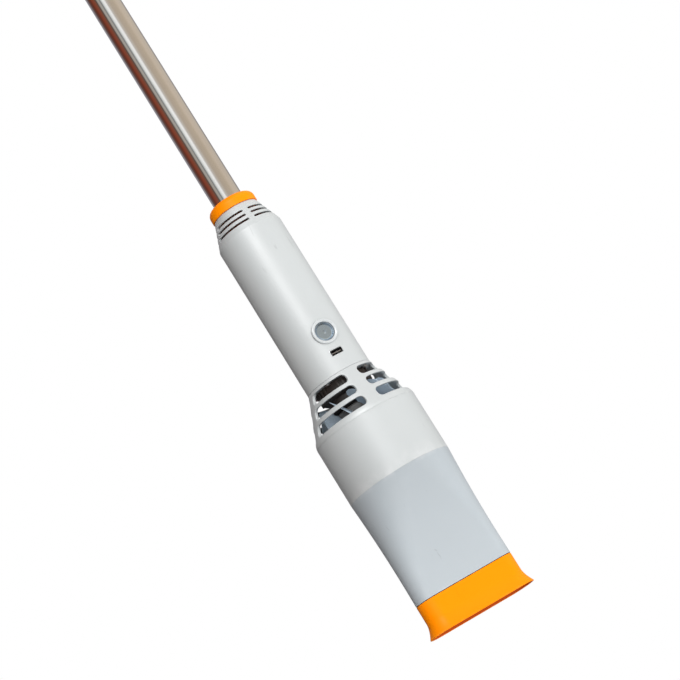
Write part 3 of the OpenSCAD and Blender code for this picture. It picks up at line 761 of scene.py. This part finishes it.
def port_hole(i, edge, e):
    """Cell edge points go to the matching points of the rectangular cut-out, with small round corners."""
    t, z = edge[i]
    u = (t + math.pi / 2) * BODY_R
    su = max(abs(q[0] + math.pi / 2) for q in edge) * BODY_R
    zs_ = [q[1] for q in edge]
    zc, sz = PORT_Z, (max(zs_) - min(zs_)) / 2
    x, zz = u / su, (z - (max(zs_) + min(zs_)) / 2) / sz
    X, Z = x * (PX + e), zz * (PZ + e)
    r = 0.7 + e
    ax, az = abs(X) - (PX + e - r), abs(Z) - (PZ + e - r)
    if ax > 0 and az > 0:
        m = max(ax, az, 1e-6)
        l = math.hypot(ax, az)
        k = r * (m / r) / l if l > 0 else 1
        ax, az = ax * k, az * k
        if m > r * 0.999 or True:
            s = r / max(math.hypot(ax, az), 1e-6) * (m / r)
            ax, az = ax * s, az * s
        X = math.copysign(PX + e - r + ax, X)
        Z = math.copysign(PZ + e - r + az, Z)
    return X, zc + Z


HS = 12
c1a, c1b = 281.4, 295.4      # cell with the port
c2a, c2b = 295.4, 327.8      # cell with the button
port_cell = front_cell(HS, c1a, c1b, 8, port_hole, 0.7, BW)
btn_cell = front_cell(HS, c2a, c2b, 14, round_hole, 0.3, BW)
low_prof = [(BODY_R, c1a), (BODY_R, 277), (BODY_R, 272.5), (BODY_R, JOINT + 0.45), (BODY_R - 0.06, JOINT + 0.25), (BODY_R - 0.25, JOINT + 0.15), (BODY_R - BW, JOINT + 0.15), (BODY_R - BW, c1a)]
# smooth break between the cylinder and the vented cone
mid_prof = [(BODY_R, c2b)] + [(BODY_R, c2b + (VENT0 - 1.2 - c2b) * i / 10) for i in range(1, 11)]
mid_prof += rounded([(BODY_R, VENT0 - 1.2, 0), (BODY_R, VENT0, 3.0), (vent_r(VENT0 + 3), VENT0 + 3, 0)], False, 6)[1:-1]
mid_prof += [(vent_r(VENT0 + 2.6), VENT0 + 2.6), (vent_r(vcells[0][0]), vcells[0][0])]
mid_in = [(BODY_R - BW, c2b), (BODY_R - BW, VENT0 - 0.5), (vent_r(vcells[0][0]) - BW, vcells[0][0])]
rim_prof = [(vent_r(vcells[-1][1]), vcells[-1][1]), (vent_r(468.5), 468.5), (vent_r(470.6), 470.6)]
rim_prof += rounded([(vent_r(470.6), 470.6, 0), (VR1, VENT1, 0.7), (VR1 - BW, VENT1, 0.5), (vent_r(469) - BW, 469, 0)], False, 5)[1:]
rim_prof += [(vent_r(vcells[-1][1]) - BW, vcells[-1][1])]
make("battery_shell", *join(*vp, band(low_prof), band(mid_prof), band(mid_in), band(rim_prof),
                            patch(c1a, c1b, 8, HS, BW), patch(c2a, c2b, 14, HS, BW), port_cell, btn_cell),
     "white_shell", replaces=("battery_housing",), sharp=50)


# ---------------------------------------------------------------- button, bezel and port
def y_piece(name, prof, slot, body=BODY, replaces=(), n=96, closed=True, z0=BUTTON_Z, x0=0.0, sharp=40):
    """Profile points are (radius, y)."""
    v, f = spin([(r, y) for r, y in prof], n, closed)
    return make(name, *about_y((v, f), z0, x0), slot, body=body, replaces=replaces, sharp=sharp)


BY = bez_lo[1]       # -37
BR = bez_hi[0]       # 13.25
bezel = rounded([
    (BR, -31.2, 0.0), (BR, BY + 0.4, 1.15), (11.9, BY, 0.9), (10.15, BY + 0.75, 0.5), (10.07, -32.4, 0.1), (11.3, -32.2, 0.1), (11.3, -24.2, 0.2), (12.3, -24.0, 0.2), (12.3, -31.2, 0.0)], True, 6)
y_piece("bezel_ring", bezel, "bezel_shell", replaces=("button_bezel",))

CY = but_lo[1]       # front plane of the button
BU = 9.75
prof = [(0.0, CY + 1.52), (0.5, CY + 1.50), (1.0, CY + 1.44), (1.5, CY + 1.33), (2.0, CY + 1.27), (2.6, CY + 1.25)]
for i in range(1, 9):
    r = 2.6 + (7.75 - 2.6) * i / 8
    prof.append((r, CY + 1.25 - 0.09 * ((r - 2.6) / 5.15) ** 2))
prof += [(7.95, CY + 1.04), (8.3, CY + 0.70), (8.65, CY + 0.35), (8.95, CY + 0.08), (9.15, CY + 0.0)]
prof += [(9.35, CY + 0.0), (9.55, CY + 0.05), (9.72, CY + 0.28), (BU, CY + 0.6), (BU, -32.1), (10.9, -32.0), (10.95, -31.8), (10.95, -31.0), (10.8, -30.85), (8.3, -30.8), (8.3, -32.6), (2.8, -32.6), (2.8, -25.3), (2.5, -25.0), (0.0, -25.0)]
button_o = y_piece("button_dish", prof, "button_steel", body=BUTTON, replaces=("button_cap",), closed=False, sharp=30)

# port shell: a folded steel frame with round corners and a flared lip
def rrect(hw, hh, r, y, seg=4):
    pts = rounded([(-hw, -hh, r), (hw, -hh, r), (hw, hh, r), (-hw, hh, r)], True, seg)
    return [(x, y, PORT_Z + z) for x, z in pts]


uy0, uy1 = usb_lo[1], usb_hi[1]
UX, UZ = usb_hi[0], (usb_hi[2] - usb_lo[2]) / 2
rings = [rrect(UX, UZ, 0.8, uy1), rrect(UX, UZ, 0.8, uy0 + 0.25), rrect(UX - 0.05, UZ - 0.05, 0.75, uy0 + 0.05), rrect(UX - 0.17, UZ - 0.17, 0.6, uy0), rrect(UX - 0.28, UZ - 0.28, 0.5, uy0 + 0.1), rrect(UX - 0.3, UZ - 0.3, 0.5, uy0 + 0.4), rrect(UX - 0.3, UZ - 0.3, 0.5, uy1)]
make("port_shell", *skin(rings), "port_steel", replaces=("usb_shell",), sharp=50)
tg_lo, tg_hi = mm_box("usb_tongue")
t0, t1 = PORT_Z - 1.2, PORT_Z + 0.4
tng = join(block(-5.5, tg_lo[1], t0, 5.5, -22.0, t1, 0.25), block(-6.0, -23.4, PORT_Z - 2.4, 6.0, -21.1, PORT_Z + 2.4, 0.2))
make("port_tongue", *tng, "port_plastic", replaces=("usb_tongue",), sharp=40)
con = join(*[block(x - 0.9, tg_lo[1] + 0.25, t0 - 0.1, x + 0.9, -23.6, t0 + 0.02, 0.08) for x in (-3.6, -1.2, 1.2, 3.6)])
con = join(con, *[block(x - 1.15, tg_lo[1] - 0.03, PORT_Z - 0.62, x + 1.15, tg_lo[1] + 0.3, PORT_Z - 0.2, 0.06) for x in (-3.6, -1.2, 1.2, 3.6)])
make("port_contacts", *con, "port_steel", sharp=40)


# ---------------------------------------------------------------- collar, pole, grip and end cap
CR = collar_hi[0]
c0, c1 = VENT1 + 0.2, collar_hi[2]
prof = [(TUBE_R + 0.15, collar_lo[2]), (21.0, collar_lo[2]), (21.2, collar_lo[2] + 0.3), (21.2, c0), (CR - 0.5, c0), (CR - 0.12, c0 + 0.12), (CR, c0 + 0.5)]
prof += [(CR, c0 + 2.5), (CR, c1 - 7.4)]
for i in range(0, 17):
    a = math.pi / 2 * i / 16
    prof.append((CR - 7.6 + 7.6 * math.cos(a), c1 - 7.0 + 7.0 * math.sin(a)))
prof += [(TUBE_R + 0.7, c1), (TUBE_R + 0.25, c1 - 0.15), (TUBE_R + 0.15, c1 - 0.6)]
make("collar_ring", *spin(prof), "orange_shell", replaces=("pole_collar",), sharp=50)

tz0, tz1 = tube_lo[2], tube_hi[2]
ti = TUBE_R - 1.0
prof = [(ti, tz0 + 0.3), (ti + 0.2, tz0), (TUBE_R - 0.2, tz0), (TUBE_R, tz0 + 0.3)]
prof += [(TUBE_R, tz0 + (tz1 - tz0) * i / 24) for i in range(1, 24)]
prof += [(TUBE_R, tz1 - 0.3), (TUBE_R - 0.2, tz1), (ti + 0.2, tz1), (ti, tz1 - 0.3)]
pole = make("pole", *spin(prof, 160), "steel_tube", replaces=("pole_tube",), sharp=50)

# grip: a moulded rubber sleeve, ringed, with a fuller bead at each end
GR = grip_hi[0]
gz0, gz1 = grip_lo[2], grip_hi[2]
prof = [(TUBE_R + 0.1, gz0 + 0.4), (TUBE_R + 0.4, gz0), (GR - 1.6, gz0), (GR - 0.6, gz0 + 0.3), (GR - 0.1, gz0 + 1.1), (GR, gz0 + 2.4), (GR, gz0 + 8.0), (GR - 0.15, gz0 + 9.2)]
L = gz1 - gz0
nr = 17
s0, s1 = gz0 + 11.0, gz1 - 11.0
for i in range(nr):
    za = s0 + (s1 - s0) * i / nr
    zb = s0 + (s1 - s0) * (i + 1) / nr
    w = zb - za
    swell = 0.35 * math.sin(math.pi * (i + 0.5) / nr)
    for k, h in ((0.0, -1.25), (0.12, -1.2), (0.22, -0.75), (0.34, -0.5), (0.61, -0.42), (0.88, -0.5), (0.97, -0.8)):
        prof.append((GR + h + swell * (0.9 if h > -1 else 0.2), za + w * k))
prof += [(GR - 1.2, s1), (GR - 0.15, s1 + 1.4), (GR, gz1 - 8.0), (GR, gz1 - 2.4), (GR - 0.1, gz1 - 1.1), (GR - 0.6, gz1 - 0.3), (GR - 1.6, gz1), (TUBE_R + 0.4, gz1), (TUBE_R + 0.1, gz1 - 0.4)]
make("grip_sleeve", *spin(prof, 128), "grip_rubber", replaces=("pole_grip",), sharp=60)

# end cap: a domed plug and a flat eye blended into it
ez = tz1
top_z = cap_hi[2]
hook_z = top_z - 9.0
prof = rounded([(0.0, ez + 8.5, 0), (GR - 4.0, ez + 8.0, 3.0), (GR, ez + 4.6, 2.2), (GR, ez + 0.2, 0.5), (ti - 0.1, ez + 0.2, 0.0), (ti - 0.1, ez - 23.4, 0.4), (ti - 0.7, ez - 24, 0.0), (ti - 3, ez - 24, 0.2), (ti - 3, ez - 3, 0.5), (0.0, ez - 3, 0)], False, 6)
cap = spin(prof, 96, closed=False)
# the eye: a flat tab whose outline flares into the dome, with a rounded hole
def eye_ring(e, y):
    pts = []
    n_arc = 40
    for i in range(n_arc + 1):
        a = math.radians(-8 + 196 * i / n_arc)
        pts.append(((9.0 - e) * math.cos(a), hook_z + (9.0 - e) * math.sin(a)))
    zb = ez + 6.4
    foot = 2.2
    m = 8
    p0 = pts[-1]
    left = [(p0[0] - (foot) * (k / m) ** 2.2, p0[1] + (zb - p0[1]) * k / m) for k in range(1, m + 1)]
    right = [(-x, z) for x, z in reversed(left)]
    return [(x, y, z) for x, z in pts + left + right]


def hole_ring(e, y, count):
    out = []
    for i in range(count):
        a = math.radians(-8 + 196 * i / 40) if i <= 40 else None
        out.append(a)
    # remaining points go round the underside
    rest = count - 41
    for k in range(rest):
        out[41 + k] = math.radians(188 + 164 * (k + 1) / (rest + 1))
    return [((4.0 + e) * math.cos(a), y, hook_z + (4.0 + e) * math.sin(a)) for a in out]


cnt = len(eye_ring(0, 0))
rings = []
b = 1.3
for k in range(5):
    a = math.pi / 2 * k / 4
    rings.append(eye_ring(b * (1 - math.sin(a)), -3.0 + b * (1 - math.cos(a))))
for k in range(5):
    a = math.pi / 2 * k / 4
    rings.append(eye_ring(b * (1 - math.cos(a)), 3.0 - b * (1 - math.sin(a))))
h = 0.8
for k in range(4):
    a = math.pi / 2 * k / 3
    rings.append(hole_ring(h * (1 - math.sin(a)), 3.0 - h * (1 - math.cos(a)), cnt))
for k in range(4):
    a = math.pi / 2 * k / 3
    rings.append(hole_ring(h * (1 - math.cos(a)), -3.0 + h * (1 - math.sin(a)), cnt))
make("end_cap", *join(cap, skin(rings)), "dark_plastic", replaces=("pole_end_cap",), sharp=45, merge=1e-5)

# clamp sleeve, seen through the slots
cs_lo, cs_hi = mm_box("clamp_sleeve")
prof = rounded([(TUBE_R + 0.15, 446.4, 0.2), (TUBE_R + 0.15, cs_hi[2], 0.3), (19.9, cs_hi[2], 0.6), (20.0, 444.6, 0.6), (31.2, 444.0, 0.5), (31.2, cs_lo[2], 0.5), (12.5, cs_lo[2], 0.3), (12.5, 446.4, 0.2)], True, 4)
fins = []
for i in range(12):
    a = math.radians(15 + 30 * i)
    fins.append(move(block(19.6, -0.7, 444.4, 23.2, 0.7, 462.0, 0.4), lambda x, y, z, a=a: (x * math.cos(a) - y * math.sin(a), x * math.sin(a) + y * math.cos(a), z)))
sleeve = make("sleeve_body", *join(spin(prof, 96), *fins), "orange_shell", replaces=("clamp_sleeve",), sharp=40)
# the sleeve gets the near-black orange: painted shade, so the vent slots look dark inside
sleeve.data.materials[0] = MAT["orange_painted_dark_shade"]


# ---------------------------------------------------------------- motor and fan
# shroud: a dark can, its upper part wider and fluted, with channels for the housing screws
sz0, sz1 = shr_lo[2], shr_hi[2]
SR = 22.5
BELL = shr_hi[0]
prof = rounded([(4.2, sz0, 0.3), (19.5, sz0, 1.2), (SR, sz0 + 2.4, 1.6), (SR, 250.2, 0.8), (25.2, 251.3, 0.5), (27.2, 252.6, 1.2), (27.2, sz1, 0.4), (25.3, sz1, 0.3), (25.3, 254.5, 0.5), (SR - 1.9, 253, 0.3), (SR - 1.9, 245.2, 0.5), (7.55, 245.2, 0.2), (7.55, 240.0, 0.1), (4.2, 240.0, 0.1)], True, 5)
ribs = []
for i in range(32):
    d = (360 / 32) * (i + 0.5)
    if min(abs((d - 45) % 90), 90 - abs((d - 45) % 90)) < 8:
        continue
    a = math.radians(d)
    ribs.append(move(block(26.4, -1.5, 252.9, BELL, 1.5, sz1 - 0.2, 0.7), lambda x, y, z, a=a: (x * math.cos(a) - y * math.sin(a), x * math.sin(a) + y * math.cos(a), z)))
make("motor_can", *join(spin(prof, 96), *ribs), "motor_plastic", replaces=("motor_shroud",), sharp=40)

# impeller: hub and twisted blades with rounded ends
HUB0, HUB1 = imp_lo[2], 237.3
BLADES = 9
PITCH = 36.0
hub = rounded([(3.03, HUB1 - 0.2, 0.1), (3.2, HUB1, 0.1), (SR - 2.0, HUB1, 0.8), (SR, HUB1 - 2.2, 2.0), (SR, HUB0, 0.4), (20.4, HUB0, 0.4), (20.4, 233.5, 0.8), (7.0, 233.5, 0.8), (7.0, 216.0, 0.4), (3.03, 216.0, 0.2)], True, 5)
parts = [spin(hub, 96)]
for i in range(6):
    a = math.radians(60 * i)
    parts.append(move(block(6.4, -0.9, 218, 20.9, 0.9, 233.8, 0.3), lambda x, y, z, a=a: (x * math.cos(a) - y * math.sin(a), x * math.sin(a) + y * math.cos(a), z)))


def blade(a0):
    """A thin twisted sheet given thickness, its outline rounded at the top and square at the tip."""
    U, V = 14, 18
    pts = {}
    z_mid = 229.0
    for u in range(U + 1):
        s = u / U
        for v in range(V + 1):
            t = v / V
            # outline in (r, z): lower edge straight, upper end round
            z_lo = 209.6
            r_in, r_out = 22.0, 50.1
            z = z_lo + t * 39.8
            if z <= 216:
                ro = 50.1
            elif z <= 242.5:
                k = (z - 216) / 26.5
                ro = 50.1 - 10.8 * k - 1.2 * math.sin(math.pi * k)
            else:
                ro = 32.0 + math.sqrt(max(0.0, 7.4 ** 2 - (z - 242.5) ** 2))
            if z <= 238.2:
                ri = 21.6
            elif z <= 242.5:
                ri = 24.8
            else:
                ri = 32.0 - math.sqrt(max(0.0, 7.2 ** 2 - (z - 242.5) ** 2))
                ri = max(ri, 24.8)
            r = ri + (ro - ri) * s
            # pitch grows to the tip, and the top leans into the turn
            h = z - z_mid
            th = math.tan(math.radians(PITCH - 6 * (r - 22) / 28)) * h / max(r, 20) * (1 + 0.004 * h)
            pts[u, v] = (r, -th, z)
    verts, faces = [], []
    for side in (0, 1):
        for u in range(U + 1):
            for v in range(V + 1):
                r, th, z = pts[u, v]
                # thin towards the edges, thick in the middle
                e = min(u, U - u * 0.999) / U if u > U / 2 else 1.0
                edge = min(v, V - v) / V
                w = 0.45 + 0.7 * min(1.0, edge * 5) * (0.65 + 0.35 * min(1.0, (U - u) / U * 3))
                off = (w if side else -w) / r
                a = a0 + th + off
                verts.append((r * math.cos(a), r * math.sin(a), z))
    n1 = (U + 1) * (V + 1)
    idx = lambda s, u, v: s * n1 + u * (V + 1) + v
    for u in range(U):
        for v in range(V):
            faces.append((idx(0, u, v), idx(0, u + 1, v), idx(0, u + 1, v + 1), idx(0, u, v + 1)))
            faces.append((idx(1, u, v), idx(1, u, v + 1), idx(1, u + 1, v + 1), idx(1, u + 1, v)))
    loop = [(u, 0) for u in range(U)] + [(U, v) for v in range(V)] + [(u, V) for u in range(U, 0, -1)] + [(0, v) for v in range(V, 0, -1)]
    for (ua, va), (ub, vb) in zip(loop, loop[1:] + loop[:1]):
        faces.append((idx(0, ua, va), idx(1, ua, va), idx(1, ub, vb), idx(0, ub, vb)))
    return verts, faces


hub_part = join(*parts)
parts = [blade(math.radians(37 + 360 / BLADES * i)) for i in range(BLADES)]
hub_o = make("fan_hub", *hub_part, "motor_plastic", body=ROTOR, replaces=("impeller",), sharp=50, merge=1e-6)
hub_o.data.materials[0] = MAT["hub_plastic"]
make("fan_blades", *join(*parts), "fan_plastic", body=ROTOR, replaces=("impeller",), sharp=50, merge=1e-6)

# tail cone and guide vanes
tc_lo, tc_hi = mm_box("tail_cone")
prof = [(0.0, tc_lo[2])] + [(22.5 * math.sin(math.pi / 2 * i / 24), 169.85 - 28.85 * math.cos(math.pi / 2 * i / 24)) for i in range(1, 25)] + [(20.3, 169.85), (20.2, 174), (18.5, 174), (18.4, 169.85), (0.0, 169.85)]
make("tail_nose", *spin(prof, 96, closed=False), "fan_plastic", replaces=("tail_cone",), sharp=50)
fs_lo, fs_hi = mm_box("flow_straightener")
parts = [spin(rounded([(52.8, 170, 0.4), (52.8, 200, 0.4), (51.0, 200, 0.5), (51.0, 170, 0.5)], True, 3), 128),
         spin(rounded([(0.0, 204, 0), (SR - 2, 204, 0), (SR, 202.6, 1.5), (SR, 170, 0.4), (20.5, 170, 0.3), (20.5, 201.5, 0.8), (0.0, 201.5, 0)], False, 4), 96, closed=False)]
for i in range(8):
    a0 = math.radians(22.5 + 45 * i)
    rows = []
    for k in range(13):
        t = k / 12
        z = 173 + 25 * t
        lean = 0.30 * t * t
        w = 0.35 + 0.6 * math.sin(math.pi * min(1, t * 1.05)) ** 0.6 if 0 < t < 1 else 0.3
        rows.append((z, lean, w))
    ring = []
    verts, faces = [], []
    for r in (22.2, 36.5, 51.3):
        sec = [(r, lean + w / r, z) for z, lean, w in rows] + [(r, lean - w / r, z) for z, lean, w in reversed(rows)]
        verts += [(q * math.cos(a0 - th), q * math.sin(a0 - th), z) for q, th, z in sec]
    n = len(rows) * 2
    for s in range(2):
        for k in range(n):
            l = (k + 1) % n
            faces.append((s * n + k, s * n + l, (s + 1) * n + l, (s + 1) * n + k))
    faces.append(tuple(range(n)))
    faces.append(tuple(2 * n + k for k in reversed(range(n))))
    parts.append((verts, faces))
make("guide_vanes", *join(*parts), "fan_plastic", replaces=("flow_straightener",), sharp=50, merge=1e-6)

# every CAD node that still shows gets its own material
slot_of = {s["node"]: s["material_slot"] for s in frame["record"]["subparts"]}
for name, o in frame["nodes"].items():
    o.data.materials.clear()
    o.data.materials.append(MAT[slot_of[name]])
    o.data.polygons.foreach_set("use_smooth", [True] * len(o.data.polygons))
    bev = o.modifiers.new("edge", "BEVEL")
    bev.width = 0.00012
    bev.segments = 2
    bev.limit_method = "ANGLE"
    bev.angle_limit = math.radians(40)
    bev.use_clamp_overlap = True

# ---------------------------------------------------------------- stage
def quad(name, pts, mat):
    me = bpy.data.meshes.new(name)
    me.from_pydata(pts, [], [tuple(range(len(pts)))])
    o = bpy.data.objects.new(name, me)
    bpy.context.scene.collection.objects.link(o)
    me.materials.append(mat)
    return o


fm, nt, b = nodes_of("floor_paint")
v = coords(nt)
nt.links.new(ramp(nt, noise(nt, v, 3.0, 3.0, 0.5), [(0.3, grey(0.86)), (0.7, grey(0.87))]), b.inputs["Base Color"])
b.inputs["Roughness"].default_value = 0.7
floor = quad("floor", [(-24, -24, -4.5), (24, -24, -4.5), (24, 24, -4.5), (-24, 24, -4.5)], fm)
floor.visible_glossy = floor.visible_diffuse = False

# world: plain pale for the camera, and a soft studio surround for light and reflections
back = Vector((-0.3667, -0.9076, -0.2045)).normalized()
right = Vector((0.927, -0.375, 0.0)).normalized()
up = back.cross(right).normalized()
flat_back = Vector((back.x, back.y, 0)).normalized()

world = bpy.data.worlds.new("studio")
bpy.context.scene.world = world
world.use_nodes = True
nt = world.node_tree
for n in list(nt.nodes):
    nt.nodes.remove(n)
tc = nt.nodes.new("ShaderNodeTexCoord")


def dot_with(vec):
    n = nt.nodes.new("ShaderNodeVectorMath")
    n.operation = "DOT_PRODUCT"
    nt.links.new(tc.outputs["Generated"], n.inputs[0])
    n.inputs[1].default_value = vec
    return n.outputs["Value"]


at = nt.nodes.new("ShaderNodeMath")
at.operation = "ARCTAN2"
nt.links.new(dot_with(right), at.inputs[0])
nt.links.new(dot_with(flat_back), at.inputs[1])
mr = nt.nodes.new("ShaderNodeMapRange")
mr.inputs["From Min"].default_value = -math.pi
mr.inputs["From Max"].default_value = math.pi
nt.links.new(at.outputs[0], mr.inputs["Value"])


def deg(d):
    return (d + 180) / 360


def math_node(op, x, y=None, z=None):
    n = nt.nodes.new("ShaderNodeMath")
    n.operation = op
    for i, v in enumerate((x, y, z)):
        if v is None:
            continue
        if isinstance(v, (int, float)):
            n.inputs[i].default_value = v
        else:
            nt.links.new(v, n.inputs[i])
    return n.outputs[0]


# what polished parts mirror: a studio with a bright opening, a warm wall and a dark corner
room = ramp(nt, mr.outputs["Result"], [
    (deg(-180), (0.34, 0.33, 0.37)),
    (deg(-136), (0.30, 0.28, 0.31)),
    (deg(-122), (0.13, 0.09, 0.085)),
    (deg(-98), (0.13, 0.036, 0.022)),
    (deg(-76), (0.26, 0.062, 0.034)),
    (deg(-58), (0.20, 0.085, 0.055)),
    (deg(-50), (0.08, 0.07, 0.065)),
    (deg(-42), (0.44, 0.41, 0.37)),
    (deg(-30), (0.40, 0.40, 0.38)),
    (deg(-24), (0.16, 0.165, 0.17)),
    (deg(-17), (0.58, 0.62, 0.62)),
    (deg(-9), (0.90, 0.93, 0.93)),
    (deg(3), (1.00, 1.03, 1.05)),
    (deg(12), (0.60, 0.57, 0.53)),
    (deg(30), (0.50, 0.43, 0.35)),
    (deg(60), (0.54, 0.46, 0.36)),
    (deg(84), (0.64, 0.55, 0.45)),
    (deg(128), (0.60, 0.54, 0.46)),
    (deg(150), (0.28, 0.26, 0.26)),
    (deg(180), (0.34, 0.33, 0.37)),
])
height = nt.nodes.new("ShaderNodeSeparateXYZ")
nt.links.new(tc.outputs["Generated"], height.inputs[0])
low = ramp(nt, math_node("MULTIPLY_ADD", height.outputs["Z"], 0.5, 0.5), [(0.08, grey(0.26)), (0.30, grey(0.60)), (0.47, grey(0.80)), (0.53, grey(1.0)), (0.70, grey(1.0)), (0.76, grey(2.4)), (0.80, grey(2.4)), (0.87, grey(0.85)), (1.0, grey(0.8))])
mirror = nt.nodes.new("ShaderNodeMix")
mirror.data_type, mirror.blend_type = "RGBA", "MULTIPLY"
mirror.inputs[0].default_value = 1.0
nt.links.new(room, mirror.inputs[6])
nt.links.new(low, mirror.inputs[7])

# what lights the matt parts: a soft bright front, a paler right side, a dim left side and back
def lvl(v, warm=0.0):
    return (v * (1 + warm), v, v * (1 - warm))


soft = ramp(nt, mr.outputs["Result"], [
    (deg(-180), lvl(0.46)),
    (deg(-142), lvl(0.44)),
    (deg(-128), lvl(0.06, 0.08)),
    (deg(-60), lvl(0.05, 0.10)),
    (deg(-30), lvl(0.12, 0.06)),
    (deg(-18), lvl(2.05, 0.01)),
    (deg(8), lvl(2.12)),
    (deg(20), lvl(0.95)),
    (deg(60), lvl(1.00)),
    (deg(90), lvl(1.16)),
    (deg(140), lvl(1.16)),
    (deg(165), lvl(0.62)),
    (deg(180), lvl(0.46)),
])

lp = nt.nodes.new("ShaderNodeLightPath")
m1 = nt.nodes.new("ShaderNodeMix")
m1.data_type = "RGBA"
nt.links.new(lp.outputs["Is Glossy Ray"], m1.inputs[0])
nt.links.new(soft, m1.inputs[6])
nt.links.new(mirror.outputs[2], m1.inputs[7])
mx = nt.nodes.new("ShaderNodeMix")
mx.data_type = "RGBA"
nt.links.new(lp.outputs["Is Camera Ray"], mx.inputs[0])
nt.links.new(m1.outputs[2], mx.inputs[6])
mx.inputs[7].default_value = (1.0, 1.0, 1.0, 1)
bg = nt.nodes.new("ShaderNodeBackground")
nt.links.new(mx.outputs[2], bg.inputs["Color"])
wo = nt.nodes.new("ShaderNodeOutputWorld")
nt.links.new(bg.outputs[0], wo.inputs["Surface"])


def soft_light(name, azimuth, elevation, distance, size, power, colour=(1, 1, 1), diffuse=True, glossy=True):
    """A softbox; azimuth is measured from the camera's side towards its right."""
    ld = bpy.data.lights.new(name, "AREA")
    ld.shape = "RECTANGLE"
    ld.size, ld.size_y = size
    ld.energy = power
    ld.color = colour
    lo = bpy.data.objects.new(name, ld)
    bpy.context.scene.collection.objects.link(lo)
    az, el = math.radians(azimuth), math.radians(elevation)
    d = (flat_back * math.cos(az) + right * math.sin(az)) * math.cos(el) + Vector((0, 0, math.sin(el)))
    lo.location = Vector((0, 0, 0.35)) + d * distance
    lo.rotation_mode = "QUATERNION"
    lo.rotation_quaternion = d.to_track_quat("Z", "Y")
    lo.visible_diffuse, lo.visible_glossy = diffuse, glossy
    return lo


strip = soft_light("strip", 5, 30, 2.6, (0.7, 0.9), 78, diffuse=False)
# the polished tube and the button mirror the surround only
others = bpy.data.collections.new("not_for_strip")
others.objects.link(pole)
others.objects.link(button_o)
strip.light_linking.receiver_collection = others
for item in others.collection_objects:
    item.light_linking.link_state = "EXCLUDE"
bpy.context.scene.view_settings.view_transform = "Standard"
bpy.context.scene.view_settings.look = "None"

# ---------------------------------------------------------------- camera at the photo's angle
target = Vector((0, 0, 0.3028)) + right * 0.0212
cd = bpy.data.cameras.new("cam")
cd.sensor_width = 36
cd.lens = 116.6
cd.clip_start, cd.clip_end = 0.05, 60
cam = bpy.data.objects.new("cam", cd)
bpy.context.scene.collection.objects.link(cam)
roll = math.radians(32.0)
r2 = right * math.cos(roll) - up * math.sin(roll)
u2 = up * math.cos(roll) + right * math.sin(roll)
m = Matrix((r2, u2, back)).transposed().to_4x4()
m.translation = target + back * 2.2
cam.matrix_world = m
bpy.context.scene.camera = cam
